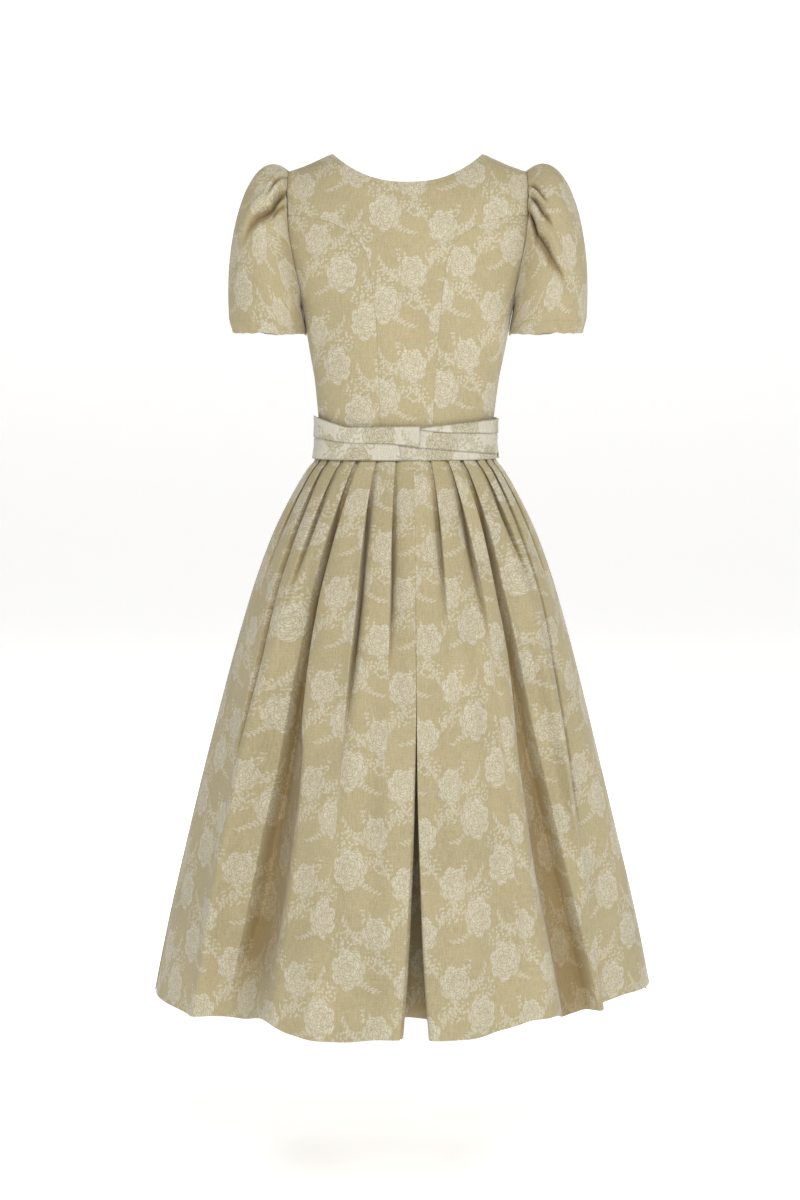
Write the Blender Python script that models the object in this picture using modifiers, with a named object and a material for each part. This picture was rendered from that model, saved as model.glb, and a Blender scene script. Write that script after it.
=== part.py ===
"""A dirndl with puffed sleeves, a wound sash and a full pleated skirt, worn form, seen best from its back.

The wearer faces +Y, so the back of the garment faces -Y and the wearer's left side is at -X.
Z is up and the origin lies between the two shoulder seams, where the shoulders carry the garment.
Lengths are in metres. Every cloth piece is an open surface, lofted through rings, with a Solidify wall.

Two coordinates place a point of the body: the height z, and an angle that is 0 at the centre line of the
back or of the front and 90 degrees at the side. "Across" is x as a share of the half width at that height.
"""

import math
from dataclasses import dataclass

import bpy
import numpy as np

LEFT, RIGHT = -1, 1
BACK, FRONT = -1, 1

# ---- cloth ----
WALL = 0.0016  # bodice, sleeves and skirt
SASH_WALL = 0.0010
SEAM_GAP = 0.0003  # between two pieces that are sewn together
HALF_GAP = SEAM_GAP / 2
LAYER_GAP = 0.0004  # between two layers of the sash
SASH_LIFT = WALL / 2 + SEAM_GAP + SASH_WALL / 2  # from the bodice's middle surface to the lowest sash layer
SASH_STEP = SASH_WALL + LAYER_GAP  # from one sash layer to the next

# ---- heights, all from the shoulder line down ----
WAIST_Z = -0.4275
UNDERARM_Z = -0.215
HIP_Z = -0.620
HEM_Z = -1.186
SLEEVE_HEM_Z = -0.2555

# ---- the middle line, which leans a little to the left towards the hem ----
LEAN_DOWN = [0.25, 0.43, 1.19]
LEAN_X = [0.0, -0.0028, -0.0100]

# ---- shoulder and neck ----
NECK_HALF_WIDTH = 0.1065
SHOULDER_HALF_WIDTH = 0.170
SHOULDER_FALL = 0.0280
SHOULDER_ARCH = 0.35  # how much of the fall the seam's curve takes up
SHOULDER_SOFTNESS = 0.02  # how softly the seam turns down at the neck point
BACK_NECK_DROP = 0.043
BACK_NECK_POWER = 2.4
FRONT_NECK_DROP = 0.163
FRONT_NECK_POWER = 3.0
FRONT_NECK_ROUND = 0.6
BACK_SHOULDER_ROUND = 0.12  # height over which the back curves from the shoulder seam to its full depth
FRONT_SHOULDER_ROUND = 0.15
BODY_SQUARENESS = 2.4  # exponent of the torso's oval section
HEM_SQUARENESS = 2.0

# ---- bust, a general figure's ----
BUST_X = 0.082
BUST_Z = -0.245
BUST_RISE = 0.013
BUST_WIDTH = 0.050
BUST_HEIGHT = 0.055

# ---- sleeve ----
SLEEVE_HEM_X = {LEFT: 0.1970, RIGHT: 0.1985}
SLEEVE_HEM_HALF_WIDTH = 0.0515
SLEEVE_HEM_HALF_DEPTH = 0.060
SLEEVE_ASIDE = 0.0010  # from the armhole's edge to the sleeve's edge, into the armhole
SLEEVE_PROUD = 0.0016  # and outward
SLEEVE_MIDDLE_Z = -0.12
SLEEVE_LEAN = 0.05  # how far the seam's outward direction is tipped up underarm
SLEEVE_LEAN_TOP = 0.25  # and how much more of it there is at the shoulder
SLEEVE_CROWDING = 1.15  # rows lie closer together at the armhole
FOLD_LEVELNESS = 0.5  # a fold at the head sinks more sideways than down
HEM_TURN_OUT = 0.0185  # how far the sleeve still spreads above its hem
HEM_TURN_BACK = 0.012

# ---- skirt ----
PLEAT_WAIST_DEPTH = 0.0056
PLEAT_TUCK = 0.0065  # how far a pleat's hidden fold lies under the panel beside it, at the waist
PLEAT_GROWTH = 0.12  # height over which a pleat opens to its full depth
PLEAT_FADE = 0.16  # height over which it fades
PLEAT_FADE_LEAD = 0.12  # how far above its fade_z that begins
SQUARE_DOWN = 0.16  # height over which the waist's rounded box turns into the hem's oval
FOLD_BEND = 0.0020  # from one layer of a pressed fold to the next
OPEN_BEND = 0.30  # the same on an open fold, as shares of its depth
OPEN_REST = 0.80
OPEN_FOLD = (0.05, 0.12, 0.20)  # where an open fold's points lie, as shares of its panel
BOX_ROUND = 0.08  # share of the inverted pleat's depth that its bends take
BOX_FLOOR_END = 0.98  # share of the floor where its flat part ends
VALLEY_START_WIDTH = 0.25  # a valley's width at its start, as a share of that at the hem
VALLEY_POWER = 1.7  # how late a valley deepens


@dataclass(frozen=True)
class Section:
    """One horizontal section of the body of the garment."""

    z: float
    half_width: float
    back: float
    front: float


@dataclass(frozen=True)
class SeamPoint:
    """A point of the curved back seam, and where its row of points ends at the centre and at the side."""

    x: float
    z: float
    centre_z: float
    side_z: float


@dataclass(frozen=True)
class Pleat:
    """A knife pleat: where its edge runs at the waist, at the hips and at the hem, and where it fades."""

    waist: float
    hip: float
    hem: float
    fade_z: float
    depth: float


@dataclass(frozen=True)
class BoxFold:
    """One height of a centre inverted pleat: half its mouth, half its floor and its depth."""

    z: float
    mouth: float
    floor: float
    depth: float


@dataclass(frozen=True)
class Valley:
    """A broad hollow between two hanging folds of the skirt, deepest at the hem."""

    top: float
    hem: float
    start_z: float
    mid_depth: float
    hem_depth: float
    left_width: float
    right_width: float


@dataclass(frozen=True)
class CapFold:
    """A pleat at the head of a sleeve: its angle round the armhole, its depth and its length."""

    angle: float
    depth: float
    length: float


@dataclass(frozen=True)
class Reach:
    """How far a sleeve's lengthwise curve bows: underarm, and what it gains towards the shoulder."""

    under: float
    gain: float
    power: float


@dataclass(frozen=True)
class SashEdge:
    """A point along one edge of a stretch of sash."""

    x: float
    z: float


BODICE = [
    Section(0.010, 0.186, 0.085, 0.080),
    Section(-0.050, 0.183, 0.086, 0.084),
    Section(-0.104, 0.178, 0.089, 0.094),
    Section(-0.143, 0.170, 0.094, 0.105),
    Section(-0.179, 0.160, 0.097, 0.113),
    Section(-0.215, 0.150, 0.098, 0.117),
    Section(-0.254, 0.1425, 0.097, 0.117),
    Section(-0.284, 0.1370, 0.094, 0.112),
    Section(-0.322, 0.1300, 0.089, 0.103),
    Section(-0.345, 0.1272, 0.0865, 0.098),
    Section(-0.385, 0.1236, 0.084, 0.092),
    Section(-0.4275, 0.1270, 0.086, 0.096),
]

SKIRT = [
    Section(-0.4275, 0.1270, 0.086, 0.096),
    Section(-0.4345, 0.1284, 0.088, 0.098),
    Section(-0.4430, 0.1360, 0.094, 0.103),
    Section(-0.4700, 0.1530, 0.112, 0.118),
    Section(-0.5100, 0.1740, 0.134, 0.137),
    Section(-0.5410, 0.1880, 0.148, 0.149),
    Section(-0.6050, 0.2110, 0.174, 0.171),
    Section(-0.6840, 0.2340, 0.200, 0.194),
    Section(-0.8080, 0.2660, 0.233, 0.224),
    Section(-0.9500, 0.3010, 0.266, 0.254),
    Section(-1.0890, 0.3345, 0.297, 0.281),
    Section(-1.1860, 0.3560, 0.316, 0.298),
]

BACK_SEAM = [
    SeamPoint(0.0360, -0.4275, -0.4275, -0.4275),
    SeamPoint(0.0372, -0.3900, -0.3900, -0.3900),
    SeamPoint(0.0385, -0.3450, -0.3450, -0.3450),
    SeamPoint(0.0408, -0.2950, -0.2950, -0.2980),
    SeamPoint(0.0440, -0.2480, -0.2500, -0.2550),
    SeamPoint(0.0480, -0.2080, -0.2150, -0.2150),
    SeamPoint(0.0515, -0.1780, -0.1880, -0.2134),
    SeamPoint(0.0550, -0.1540, -0.1690, -0.2060),
    SeamPoint(0.0625, -0.1350, -0.1490, -0.1910),
    SeamPoint(0.0750, -0.1195, -0.1320, -0.1710),
    SeamPoint(0.0930, -0.1070, -0.1150, -0.1480),
    SeamPoint(0.1200, -0.0960, -0.0980, -0.1230),
    SeamPoint(0.1450, -0.0905, -0.0880, -0.1020),
    SeamPoint(0.1660, -0.0885, -0.0800, -0.0905),
]

# The armhole as angles of the torso's section, from the shoulder (share 0) to the underarm (share 1).
ARMHOLE_SHARE = [0.0, 0.25, 0.5, 0.75, 0.9, 1.0]
ARMHOLE_BACK = [65.4, 67.0, 69.8, 74.0, 81.0, 90.0]
ARMHOLE_FRONT = [65.4, 64.0, 64.5, 70.0, 79.5, 90.0]

BACK_PLEATS_LEFT = [
    Pleat(-0.955, -0.955, -0.955, -0.62, 0.008),
    Pleat(-0.864, -0.860, -0.850, -0.83, 0.016),
    Pleat(-0.714, -0.755, -0.740, -0.62, 0.014),
    Pleat(-0.550, -0.600, -0.600, -1.30, 0.020),
    Pleat(-0.329, -0.305, -0.330, -0.78, 0.018),
    Pleat(-0.115, -0.092, -0.090, -0.70, 0.012),
]
BACK_PLEATS_RIGHT = [
    Pleat(0.282, 0.268, 0.270, -0.64, 0.012),
    Pleat(0.470, 0.510, 0.500, -0.66, 0.016),
    Pleat(0.638, 0.625, 0.620, -0.85, 0.020),
    Pleat(0.791, 0.850, 0.840, -0.60, 0.014),
    Pleat(0.897, 0.892, 0.900, -0.92, 0.018),
    Pleat(0.970, 0.965, 0.965, -0.62, 0.008),
]
BACK_BOX_ACROSS = (0.080, 0.070, 0.058)
FRONT_PLEATS_LEFT = [
    Pleat(-0.955, -0.955, -0.955, -0.62, 0.008),
    Pleat(-0.870, -0.880, -0.870, -0.80, 0.015),
    Pleat(-0.730, -0.760, -0.760, -0.64, 0.014),
    Pleat(-0.560, -0.590, -0.610, -0.86, 0.019),
    Pleat(-0.370, -0.360, -0.370, -0.74, 0.017),
    Pleat(-0.180, -0.170, -0.170, -0.66, 0.012),
]
FRONT_PLEATS_RIGHT = [
    Pleat(0.180, 0.170, 0.165, -0.68, 0.012),
    Pleat(0.370, 0.370, 0.360, -0.76, 0.017),
    Pleat(0.560, 0.580, 0.590, -0.84, 0.018),
    Pleat(0.730, 0.770, 0.760, -0.62, 0.014),
    Pleat(0.870, 0.880, 0.880, -0.88, 0.016),
    Pleat(0.955, 0.955, 0.955, -0.62, 0.008),
]
FRONT_BOX_ACROSS = (0.0, 0.004, 0.010)

BOX_FOLDS = [
    BoxFold(-0.4275, 0.0016, 0.0100, 0.0060),
    BoxFold(-0.5400, 0.0016, 0.0150, 0.0180),
    BoxFold(-0.7460, 0.0016, 0.0200, 0.0480),
    BoxFold(-0.8720, 0.0035, 0.0220, 0.0700),
    BoxFold(-1.0340, 0.0075, 0.0240, 0.1050),
    BoxFold(-1.1010, 0.0110, 0.0260, 0.1220),
    BoxFold(-1.1860, 0.0175, 0.0300, 0.1420),
]

BACK_VALLEYS = [
    Valley(-0.590, -0.620, -0.50, 0.0180, 0.092, 0.110, 0.058),
    Valley(0.460, 0.420, -0.60, 0.0036, 0.052, 0.046, 0.095),
    Valley(0.640, 0.655, -0.52, 0.0180, 0.108, 0.082, 0.080),
    Valley(-0.880, -0.900, -0.60, 0.0036, 0.024, 0.060, 0.045),
    Valley(0.880, 0.895, -0.60, 0.0048, 0.042, 0.045, 0.045),
]
FRONT_VALLEYS = [
    Valley(-0.580, -0.560, -0.50, 0.0180, 0.088, 0.075, 0.060),
    Valley(0.560, 0.590, -0.54, 0.0168, 0.092, 0.060, 0.080),
    Valley(-0.880, -0.890, -0.60, 0.0036, 0.024, 0.060, 0.045),
    Valley(0.870, 0.880, -0.62, 0.0048, 0.028, 0.045, 0.060),
]

CAP_FOLDS = {
    LEFT: [
        CapFold(24.0, 0.0050, 0.40),
        CapFold(46.0, 0.0110, 0.80),
        CapFold(68.0, 0.0050, 0.40),
        CapFold(-26.0, 0.0050, 0.40),
        CapFold(-50.0, 0.0100, 0.75),
        CapFold(-74.0, 0.0045, 0.40),
    ],
    RIGHT: [
        CapFold(27.0, 0.0045, 0.35),
        CapFold(47.0, 0.0070, 0.50),
        CapFold(68.0, 0.0110, 0.85),
        CapFold(-24.0, 0.0045, 0.35),
        CapFold(-48.0, 0.0100, 0.75),
        CapFold(-72.0, 0.0050, 0.40),
    ],
}
CAP_FOLD_WIDTH = 12.0  # degrees on the open side of a fold
CAP_FOLD_STEEP = CAP_FOLD_WIDTH / 3  # and on its other side
CAP_FOLD_START = 0.10  # share of the sleeve's length over which a fold deepens below the seam

PUFF_DEPTH = Reach(0.0153, 0.0187, 0.5)
PUFF_OUT = Reach(0.014, 0.044, 1.2)
PUFF_UP = Reach(0.004, 0.047, 2.0)
HEM_TURN_UP = {LEFT: Reach(0.012, 0.1035, 1.3), RIGHT: Reach(0.012, 0.1205, 1.3)}

# ---- sash: the edges of each stretch on the back, left to right ----
SASH_SIDE_X = 0.1300  # where every edge below meets the side
SASH_TOP_Z = -0.3740
SASH_LOW_Z = -0.4335
UPPER_TOP = [
    SashEdge(-0.1300, -0.3706),
    SashEdge(-0.1001, -0.3806),
    SashEdge(-0.0802, -0.3855),
    SashEdge(-0.0390, -0.3845),
    SashEdge(0.0194, -0.3838),
]
UPPER_LOW = [
    SashEdge(-0.1300, -0.4004),
    SashEdge(-0.0746, -0.4075),
    SashEdge(-0.0300, -0.4080),
    SashEdge(0.0036, -0.4110),
    SashEdge(0.0194, -0.4135),
]
LOWER_LEFT_TOP = [SashEdge(-0.1300, -0.3960), SashEdge(-0.0300, -0.4020), SashEdge(-0.0108, -0.4030)]
LOWER_LEFT_LOW = [SashEdge(-0.1300, SASH_LOW_Z), SashEdge(-0.0300, SASH_LOW_Z), SashEdge(-0.0050, SASH_LOW_Z)]
WEDGE_TOP = [SashEdge(0.0202, -0.3862), SashEdge(0.0845, -0.3791), SashEdge(0.1300, -0.3743)]
WEDGE_LOW = [SashEdge(0.0202, -0.3890), SashEdge(0.0561, -0.3926), SashEdge(0.1300, -0.3948)]
MIDDLE_TOP = [SashEdge(0.0080, -0.3880), SashEdge(0.0845, -0.3860), SashEdge(0.1300, -0.3850)]
MIDDLE_LOW = [SashEdge(0.0080, -0.4128), SashEdge(0.0462, -0.4161), SashEdge(0.1300, -0.4239)]
LOWER_RIGHT_TOP = [SashEdge(-0.0200, -0.4020), SashEdge(0.0462, -0.4080), SashEdge(0.1300, -0.4160)]
LOWER_RIGHT_LOW = [SashEdge(-0.0200, SASH_LOW_Z), SashEdge(0.0462, SASH_LOW_Z), SashEdge(0.1300, SASH_LOW_Z)]


# ---- curves and sections ----
def smooth(value, places, amounts):
    """A smooth curve through a short table, flat beyond its ends; places rise or fall steadily."""
    xs, ys = np.array(places, float), np.array(amounts, float)
    if xs[0] > xs[-1]:
        xs, ys = xs[::-1], ys[::-1]
    steps = np.diff(xs)
    rises = np.diff(ys) / steps
    slopes = np.concatenate([[rises[0]], np.zeros(len(xs) - 2), [rises[-1]]])
    same = rises[:-1] * rises[1:] > 0
    slopes[1:-1][same] = 2 * rises[:-1][same] * rises[1:][same] / (rises[:-1] + rises[1:])[same]
    v = np.clip(np.asarray(value, float), xs[0], xs[-1])
    i = np.clip(np.searchsorted(xs, v) - 1, 0, len(steps) - 1)
    t = (v - xs[i]) / steps[i]
    first = (1 + 2 * t) * (1 - t) ** 2 * ys[i] + t * (1 - t) ** 2 * steps[i] * slopes[i]
    return first + t * t * (3 - 2 * t) * ys[i + 1] + t * t * (t - 1) * steps[i] * slopes[i + 1]


def column(table, name, z):
    """One named column of a table of sections, at the height z."""
    return smooth(z, [row.z for row in table], [getattr(row, name) for row in table])


def mix(first, last, share):
    """The value that lies a share of the way from the first to the last."""
    return first + (last - first) * share


def ease(value):
    """A soft step from 0 to 1."""
    t = np.clip(value, 0.0, 1.0)
    return t * t * (3 - 2 * t)


def centre_x(z):
    """The body's middle at the height z."""
    return np.interp(-z, LEAN_DOWN, LEAN_X)


def shoulder_z(x):
    """The height of the shoulder seam over x, level inside the neck."""
    reach = (np.abs(x) - NECK_HALF_WIDTH) / (SHOULDER_HALF_WIDTH - NECK_HALF_WIDTH)
    outside = (reach + np.sqrt(reach * reach + SHOULDER_SOFTNESS)) / 2
    at_neck = math.sqrt(SHOULDER_SOFTNESS) / 2
    return -SHOULDER_FALL * ((1 + SHOULDER_ARCH) * (outside - at_neck) - SHOULDER_ARCH * outside * outside)


def angle_at(x, z):
    """The section's angle, in radians, at a distance x from the centre line."""
    share = np.clip(np.abs(x) / column(BODICE, "half_width", z), 0.0, 1.0)
    return np.arcsin(share ** (BODY_SQUARENESS / 2))


def torso(angle, z, hand, side):
    """A point of the bodice: radians from the centre line, hand LEFT or RIGHT, side BACK or FRONT."""
    power = 2 / BODY_SQUARENESS
    x = column(BODICE, "half_width", z) * np.abs(np.sin(angle)) ** power
    drop = np.clip(shoulder_z(x) - z, 0.0, None)
    rounding = BACK_SHOULDER_ROUND if side == BACK else FRONT_SHOULDER_ROUND
    risen = np.sqrt(1 - (1 - np.clip(drop / rounding, 0.0, 1.0)) ** 2)
    depth = column(BODICE, "back" if side == BACK else "front", z) * risen
    depth = depth * np.clip(np.cos(angle), 0.0, 1.0) ** power
    if side == FRONT:
        near = ((x - BUST_X) / BUST_WIDTH) ** 2 + ((z - BUST_Z) / BUST_HEIGHT) ** 2
        depth = depth + BUST_RISE * np.exp(-near) * np.cos(angle)
    return np.stack([centre_x(z) + hand * x, side * depth, z + 0 * x], axis=-1)


def armhole(share, side):
    """(angle, z) of the armhole's edge: share 0 at the shoulder and 1 at the underarm."""
    table = ARMHOLE_BACK if side == BACK else ARMHOLE_FRONT
    top = float(shoulder_z(SHOULDER_HALF_WIDTH))
    z = top + (UNDERARM_Z - top) * (1 - np.cos(np.pi * np.asarray(share, float))) / 2
    return np.radians(smooth(share, ARMHOLE_SHARE, table)), z


def armhole_share(z):
    """The share along the armhole at the height z."""
    top = float(shoulder_z(SHOULDER_HALF_WIDTH))
    return np.arccos(np.clip(1 - 2 * (z - top) / (UNDERARM_Z - top), -1.0, 1.0)) / np.pi


def neckline(x, side):
    """The height of the neck's edge over x."""
    share = np.clip(np.abs(x) / NECK_HALF_WIDTH, 0.0, 1.0)
    neck_point_z = float(shoulder_z(NECK_HALF_WIDTH))
    if side == BACK:
        return neck_point_z - BACK_NECK_DROP * (1 - share**BACK_NECK_POWER)
    return neck_point_z - FRONT_NECK_DROP * (1 - share**FRONT_NECK_POWER) ** FRONT_NECK_ROUND


def top_edge(side, neck_steps, shoulder_steps):
    """(x, z) along the neckline from the centre to the neck point, then along the shoulder seam."""
    turn = np.linspace(0, np.pi / 2, neck_steps + 1)
    neck_x = NECK_HALF_WIDTH * np.sin(turn)
    shoulder = np.linspace(NECK_HALF_WIDTH, SHOULDER_HALF_WIDTH, shoulder_steps + 1)[1:]
    xs = np.concatenate([neck_x, shoulder])
    zs = np.concatenate([neckline(neck_x, side), shoulder_z(shoulder)])
    return xs, zs


# ---- grids ----
def drawn_in(grid, **edges):
    """The grid with its named edges (first_row, last_row, first_column, last_column) moved inward."""
    result = grid.copy()
    for edge, amount in edges.items():
        rim, inner = {
            "first_row": (grid[0], grid[1]),
            "last_row": (grid[-1], grid[-2]),
            "first_column": (grid[:, 0], grid[:, 1]),
            "last_column": (grid[:, -1], grid[:, -2]),
        }[edge]
        along = np.gradient(rim, axis=0)
        along /= np.linalg.norm(along, axis=1, keepdims=True)
        inward = inner - rim
        inward -= (inward * along).sum(axis=1, keepdims=True) * along
        inward /= np.maximum(np.linalg.norm(inward, axis=1, keepdims=True), 1e-9)
        moved = amount * inward
        if edge == "first_row":
            result[0] += moved
        elif edge == "last_row":
            result[-1] += moved
        elif edge == "first_column":
            result[:, 0] += moved
        else:
            result[:, -1] += moved
    return result


def cloth(name, grid, wall, material, wraps=False):
    """A cloth piece: the grid of middle-surface points as faces, with a wall of the stated thickness."""
    rows, columns = grid.shape[:2]
    around = columns if wraps else columns - 1
    faces = []
    for i in range(rows - 1):
        for j in range(around):
            k = (j + 1) % columns
            faces.append((i * columns + j, i * columns + k, (i + 1) * columns + k, (i + 1) * columns + j))
    mesh = bpy.data.meshes.new(name)
    mesh.from_pydata([tuple(map(float, p)) for p in grid.reshape(-1, 3)], [], faces)
    mesh.materials.append(material)
    mesh.shade_smooth()
    piece = bpy.data.objects.new(name, mesh)
    parts.objects.link(piece)
    solidify = piece.modifiers.new("wall", "SOLIDIFY")
    solidify.thickness = wall
    solidify.offset = 0.0
    return piece


# ---- bodice ----
SHOULDER_INSET = 0.0005
TOP_ROWS = 4
NECK_STEPS, SHOULDER_STEPS = 6, 3
SIDE_STEPS = 7
FRONT_NECK_STEPS, FRONT_TOP_ROWS = 8, 6
FINE_NECK_STEPS = 90
FRONT_LEVELS = [point.side_z for point in BACK_SEAM if point.side_z <= UNDERARM_Z]


def back_centre_grid():
    """The back between the two curved seams, widening above them to both armholes."""
    top_x, top_z = top_edge(BACK, NECK_STEPS, SHOULDER_STEPS)
    top_angle = angle_at(top_x, top_z)
    shares = top_angle / top_angle[-1]
    rows = []
    for point in BACK_SEAM:
        outer = float(angle_at(point.x, point.z))
        rows.append((shares * outer, mix(point.centre_z, point.z, shares)))
    corner_share = float(armhole_share(BACK_SEAM[-1].z))
    corner_angle, corner_z = armhole(corner_share, BACK)
    base_angle = shares * float(corner_angle)
    base_z = mix(BACK_SEAM[-1].centre_z, float(corner_z), shares)
    rows[-1] = (base_angle, base_z)
    for share in np.linspace(corner_share, 0.0, TOP_ROWS + 1)[1:]:
        edge_angle, edge_z = armhole(share, BACK)
        risen = (float(edge_z) - base_z[-1]) / (top_z[-1] - base_z[-1])
        rows.append((shares * float(edge_angle), mix(base_z, top_z, risen)))
    left, right = (
        np.array([torso(angles, heights, hand, BACK) for angles, heights in rows]) for hand in (LEFT, RIGHT)
    )
    grid = np.concatenate([left[:, :0:-1], right], axis=1)
    return drawn_in(grid, first_column=HALF_GAP, last_column=HALF_GAP, last_row=SHOULDER_INSET)


def back_side_grid(hand):
    """The back's side panel, from the curved seam to the side seam and the armhole."""
    rows = []
    for point in BACK_SEAM:
        inner = float(angle_at(point.x, point.z))
        if point.side_z <= UNDERARM_Z:
            outer, outer_z = math.pi / 2, point.side_z
        else:
            edge_angle, edge_z = armhole(float(armhole_share(point.side_z)), BACK)
            outer, outer_z = float(edge_angle), float(edge_z)
        share = np.linspace(0, 1, SIDE_STEPS + 1)
        rows.append(torso(mix(inner, outer, share), mix(point.z, outer_z, share), hand, BACK))
    return drawn_in(np.array(rows), first_column=SEAM_GAP, last_column=HALF_GAP)


def spaced(xs, zs, count):
    """Points at equal steps along the front's neckline, whose fine points are at (xs, zs)."""
    line = torso(angle_at(xs, zs), zs, RIGHT, FRONT)
    walked = np.concatenate([[0.0], np.cumsum(np.linalg.norm(np.diff(line, axis=0), axis=1))])
    wanted = np.linspace(0, walked[-1], count)
    return np.interp(wanted, walked, xs), np.interp(wanted, walked, zs)


def front_grid(hand):
    """One half of the front, from the centre front to the side seam and the armhole."""
    fine_x, fine_z = top_edge(FRONT, FINE_NECK_STEPS, SHOULDER_STEPS)
    neck_end = FINE_NECK_STEPS + 1
    neck_x, neck_z = spaced(fine_x[:neck_end], fine_z[:neck_end], FRONT_NECK_STEPS + 1)
    top_x = np.concatenate([neck_x, fine_x[neck_end:]])
    top_z = np.concatenate([neck_z, fine_z[neck_end:]])
    top_angle = angle_at(top_x, top_z)
    top_shares = top_angle / top_angle[-1]
    low_shares = np.linspace(0, 1, len(top_shares))
    rows = [(low_shares * math.pi / 2, np.full(len(low_shares), z)) for z in FRONT_LEVELS]
    for share in np.linspace(1.0, 0.0, FRONT_TOP_ROWS + 1)[1:]:
        edge_angle, edge_z = armhole(share, FRONT)
        risen = (float(edge_z) - UNDERARM_Z) / (top_z[-1] - UNDERARM_Z)
        shares = mix(low_shares, top_shares, risen)
        rows.append((shares * float(edge_angle), mix(UNDERARM_Z, top_z, risen)))
    grid = np.array([torso(angles, heights, hand, FRONT) for angles, heights in rows])
    return drawn_in(grid, first_column=HALF_GAP, last_column=HALF_GAP, last_row=SHOULDER_INSET)


# ---- sleeves ----
SLEEVE_STEP = 15.0  # degrees between two columns where there is no fold
SLEEVE_CLEAR = 6.0  # degrees that such a column keeps from a fold's
SLEEVE_ROWS = 8
TURN_TEST = 0.05  # radians to each side over which the armhole's direction is taken


def armhole_ring(turn, hand):
    """A point of the armhole's edge; turn is 0 at the shoulder, a quarter at the back, a half underarm."""
    side = BACK if math.sin(turn) >= 0 else FRONT
    share = turn / math.pi if side == BACK else 2 - turn / math.pi
    angle, z = armhole(share, side)
    return torso(angle, z, hand, side)


def sleeve_start(turn, hand):
    """Where the sleeve begins: just off the armhole's edge, away from the panel and outward."""
    here = armhole_ring(turn, hand)
    ahead, behind = (armhole_ring((turn + step) % (2 * math.pi), hand) for step in (TURN_TEST, -TURN_TEST))
    along = ahead - behind
    outward = np.array([here[0], here[1], SLEEVE_LEAN + SLEEVE_LEAN_TOP * max(math.cos(turn), 0.0)])
    across = np.cross(along, outward) * hand
    across /= np.linalg.norm(across)
    normal = np.cross(across, along) * -hand
    normal /= np.linalg.norm(normal)
    if np.dot(normal, outward) < 0:
        normal = -normal
    middle = np.array([here[0], 0.0, SLEEVE_MIDDLE_Z])
    if np.dot(across, middle - here) < 0:
        across = -across
    return here + SLEEVE_ASIDE * across + SLEEVE_PROUD * normal


def sleeve_turns(hand):
    """The columns of a sleeve, in degrees from the shoulder over the back: three on each fold."""
    turns = []
    for fold in CAP_FOLDS[hand]:
        sign = 1 if fold.angle > 0 else -1
        turns += [fold.angle - sign * CAP_FOLD_STEEP, fold.angle, fold.angle + sign * CAP_FOLD_WIDTH]
    for regular in np.arange(-180 + SLEEVE_STEP, 181, SLEEVE_STEP):
        if min(abs(regular - turn) for turn in turns) > SLEEVE_CLEAR:
            turns.append(float(regular))
    return sorted(turns)


def cap_pleats(degrees, down, hand):
    """How far the pleats at the sleeve's head sink into its smooth form; down is 0 at the seam."""
    lift = 0.0
    for fold in CAP_FOLDS[hand]:
        away = (degrees - fold.angle) * (1 if fold.angle > 0 else -1)
        wide = CAP_FOLD_WIDTH if away > 0 else CAP_FOLD_STEEP
        fading = float(ease(down / CAP_FOLD_START)) * float(1 - ease(down / fold.length))
        lift -= fold.depth * max(0.0, 1 - abs(away) / wide) * fading
    return lift


def reach(bow, high):
    """How far a sleeve's curve bows; high runs from 0 underarm to 1 at the shoulder."""
    return bow.under + bow.gain * high**bow.power


def sleeve_grid(hand):
    """A short puffed sleeve: curves from the armhole, out over the puff and down to the level hem."""
    turns = sleeve_turns(hand)
    middle = np.array([hand * (SHOULDER_HALF_WIDTH + SLEEVE_HEM_X[hand]) / 2, 0.0, SLEEVE_MIDDLE_Z])
    grid = np.zeros((SLEEVE_ROWS, len(turns), 3))
    for j, degrees in enumerate(turns):
        turn = math.radians(degrees) % (2 * math.pi)
        out, back = math.cos(turn), math.sin(turn)
        high = (1 + out) / 2
        hem = np.array(
            [
                hand * (SLEEVE_HEM_X[hand] + SLEEVE_HEM_HALF_WIDTH * out),
                -SLEEVE_HEM_HALF_DEPTH * back,
                SLEEVE_HEM_Z,
            ]
        )
        puffed, turned_up = reach(PUFF_DEPTH, high), reach(HEM_TURN_UP[hand], high)
        leave = np.array([hand * reach(PUFF_OUT, high), -puffed * back, reach(PUFF_UP, high)])
        arrive = np.array([hand * HEM_TURN_OUT * max(out, 0.0), -HEM_TURN_BACK * back, turned_up])
        begin = sleeve_start(turn, hand)
        for i in range(SLEEVE_ROWS):
            t = (i / (SLEEVE_ROWS - 1)) ** SLEEVE_CROWDING
            point = (1 - t) ** 3 * begin + 3 * t * (1 - t) ** 2 * (begin + leave)
            point = point + 3 * t * t * (1 - t) * (hem + arrive) + t**3 * hem
            outward = point - middle
            outward[2] *= FOLD_LEVELNESS
            outward /= np.linalg.norm(outward)
            grid[i, j] = point + cap_pleats(degrees, t, hand) * outward
    return grid


# ---- skirt ----
WAIST_SEAM_DROP = 0.0006  # from the bodice's lower edge to the skirt's upper one, where the walls slope
SKIRT_TOP_Z = WAIST_Z - WAIST_SEAM_DROP
SKIRT_LEVELS = [SKIRT_TOP_Z, -0.4350, -0.4480, -0.4850, -0.5450, -0.6250, -0.7300, -0.8600, -1.0150, HEM_Z]
RECESS = [(0.42, 0.56), (0.72, 0.18)]  # share of the way to the next edge, share of the step
SIDE_PANEL = [0.0, 0.4, 0.75]
SIDE_TEST = 0.02  # radians to each side over which the section's length is taken


def squareness(z):
    """The section's exponent, from the waist's rounded box to the hem's oval."""
    return mix(BODY_SQUARENESS, HEM_SQUARENESS, ease((WAIST_Z - z) / SQUARE_DOWN))


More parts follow.
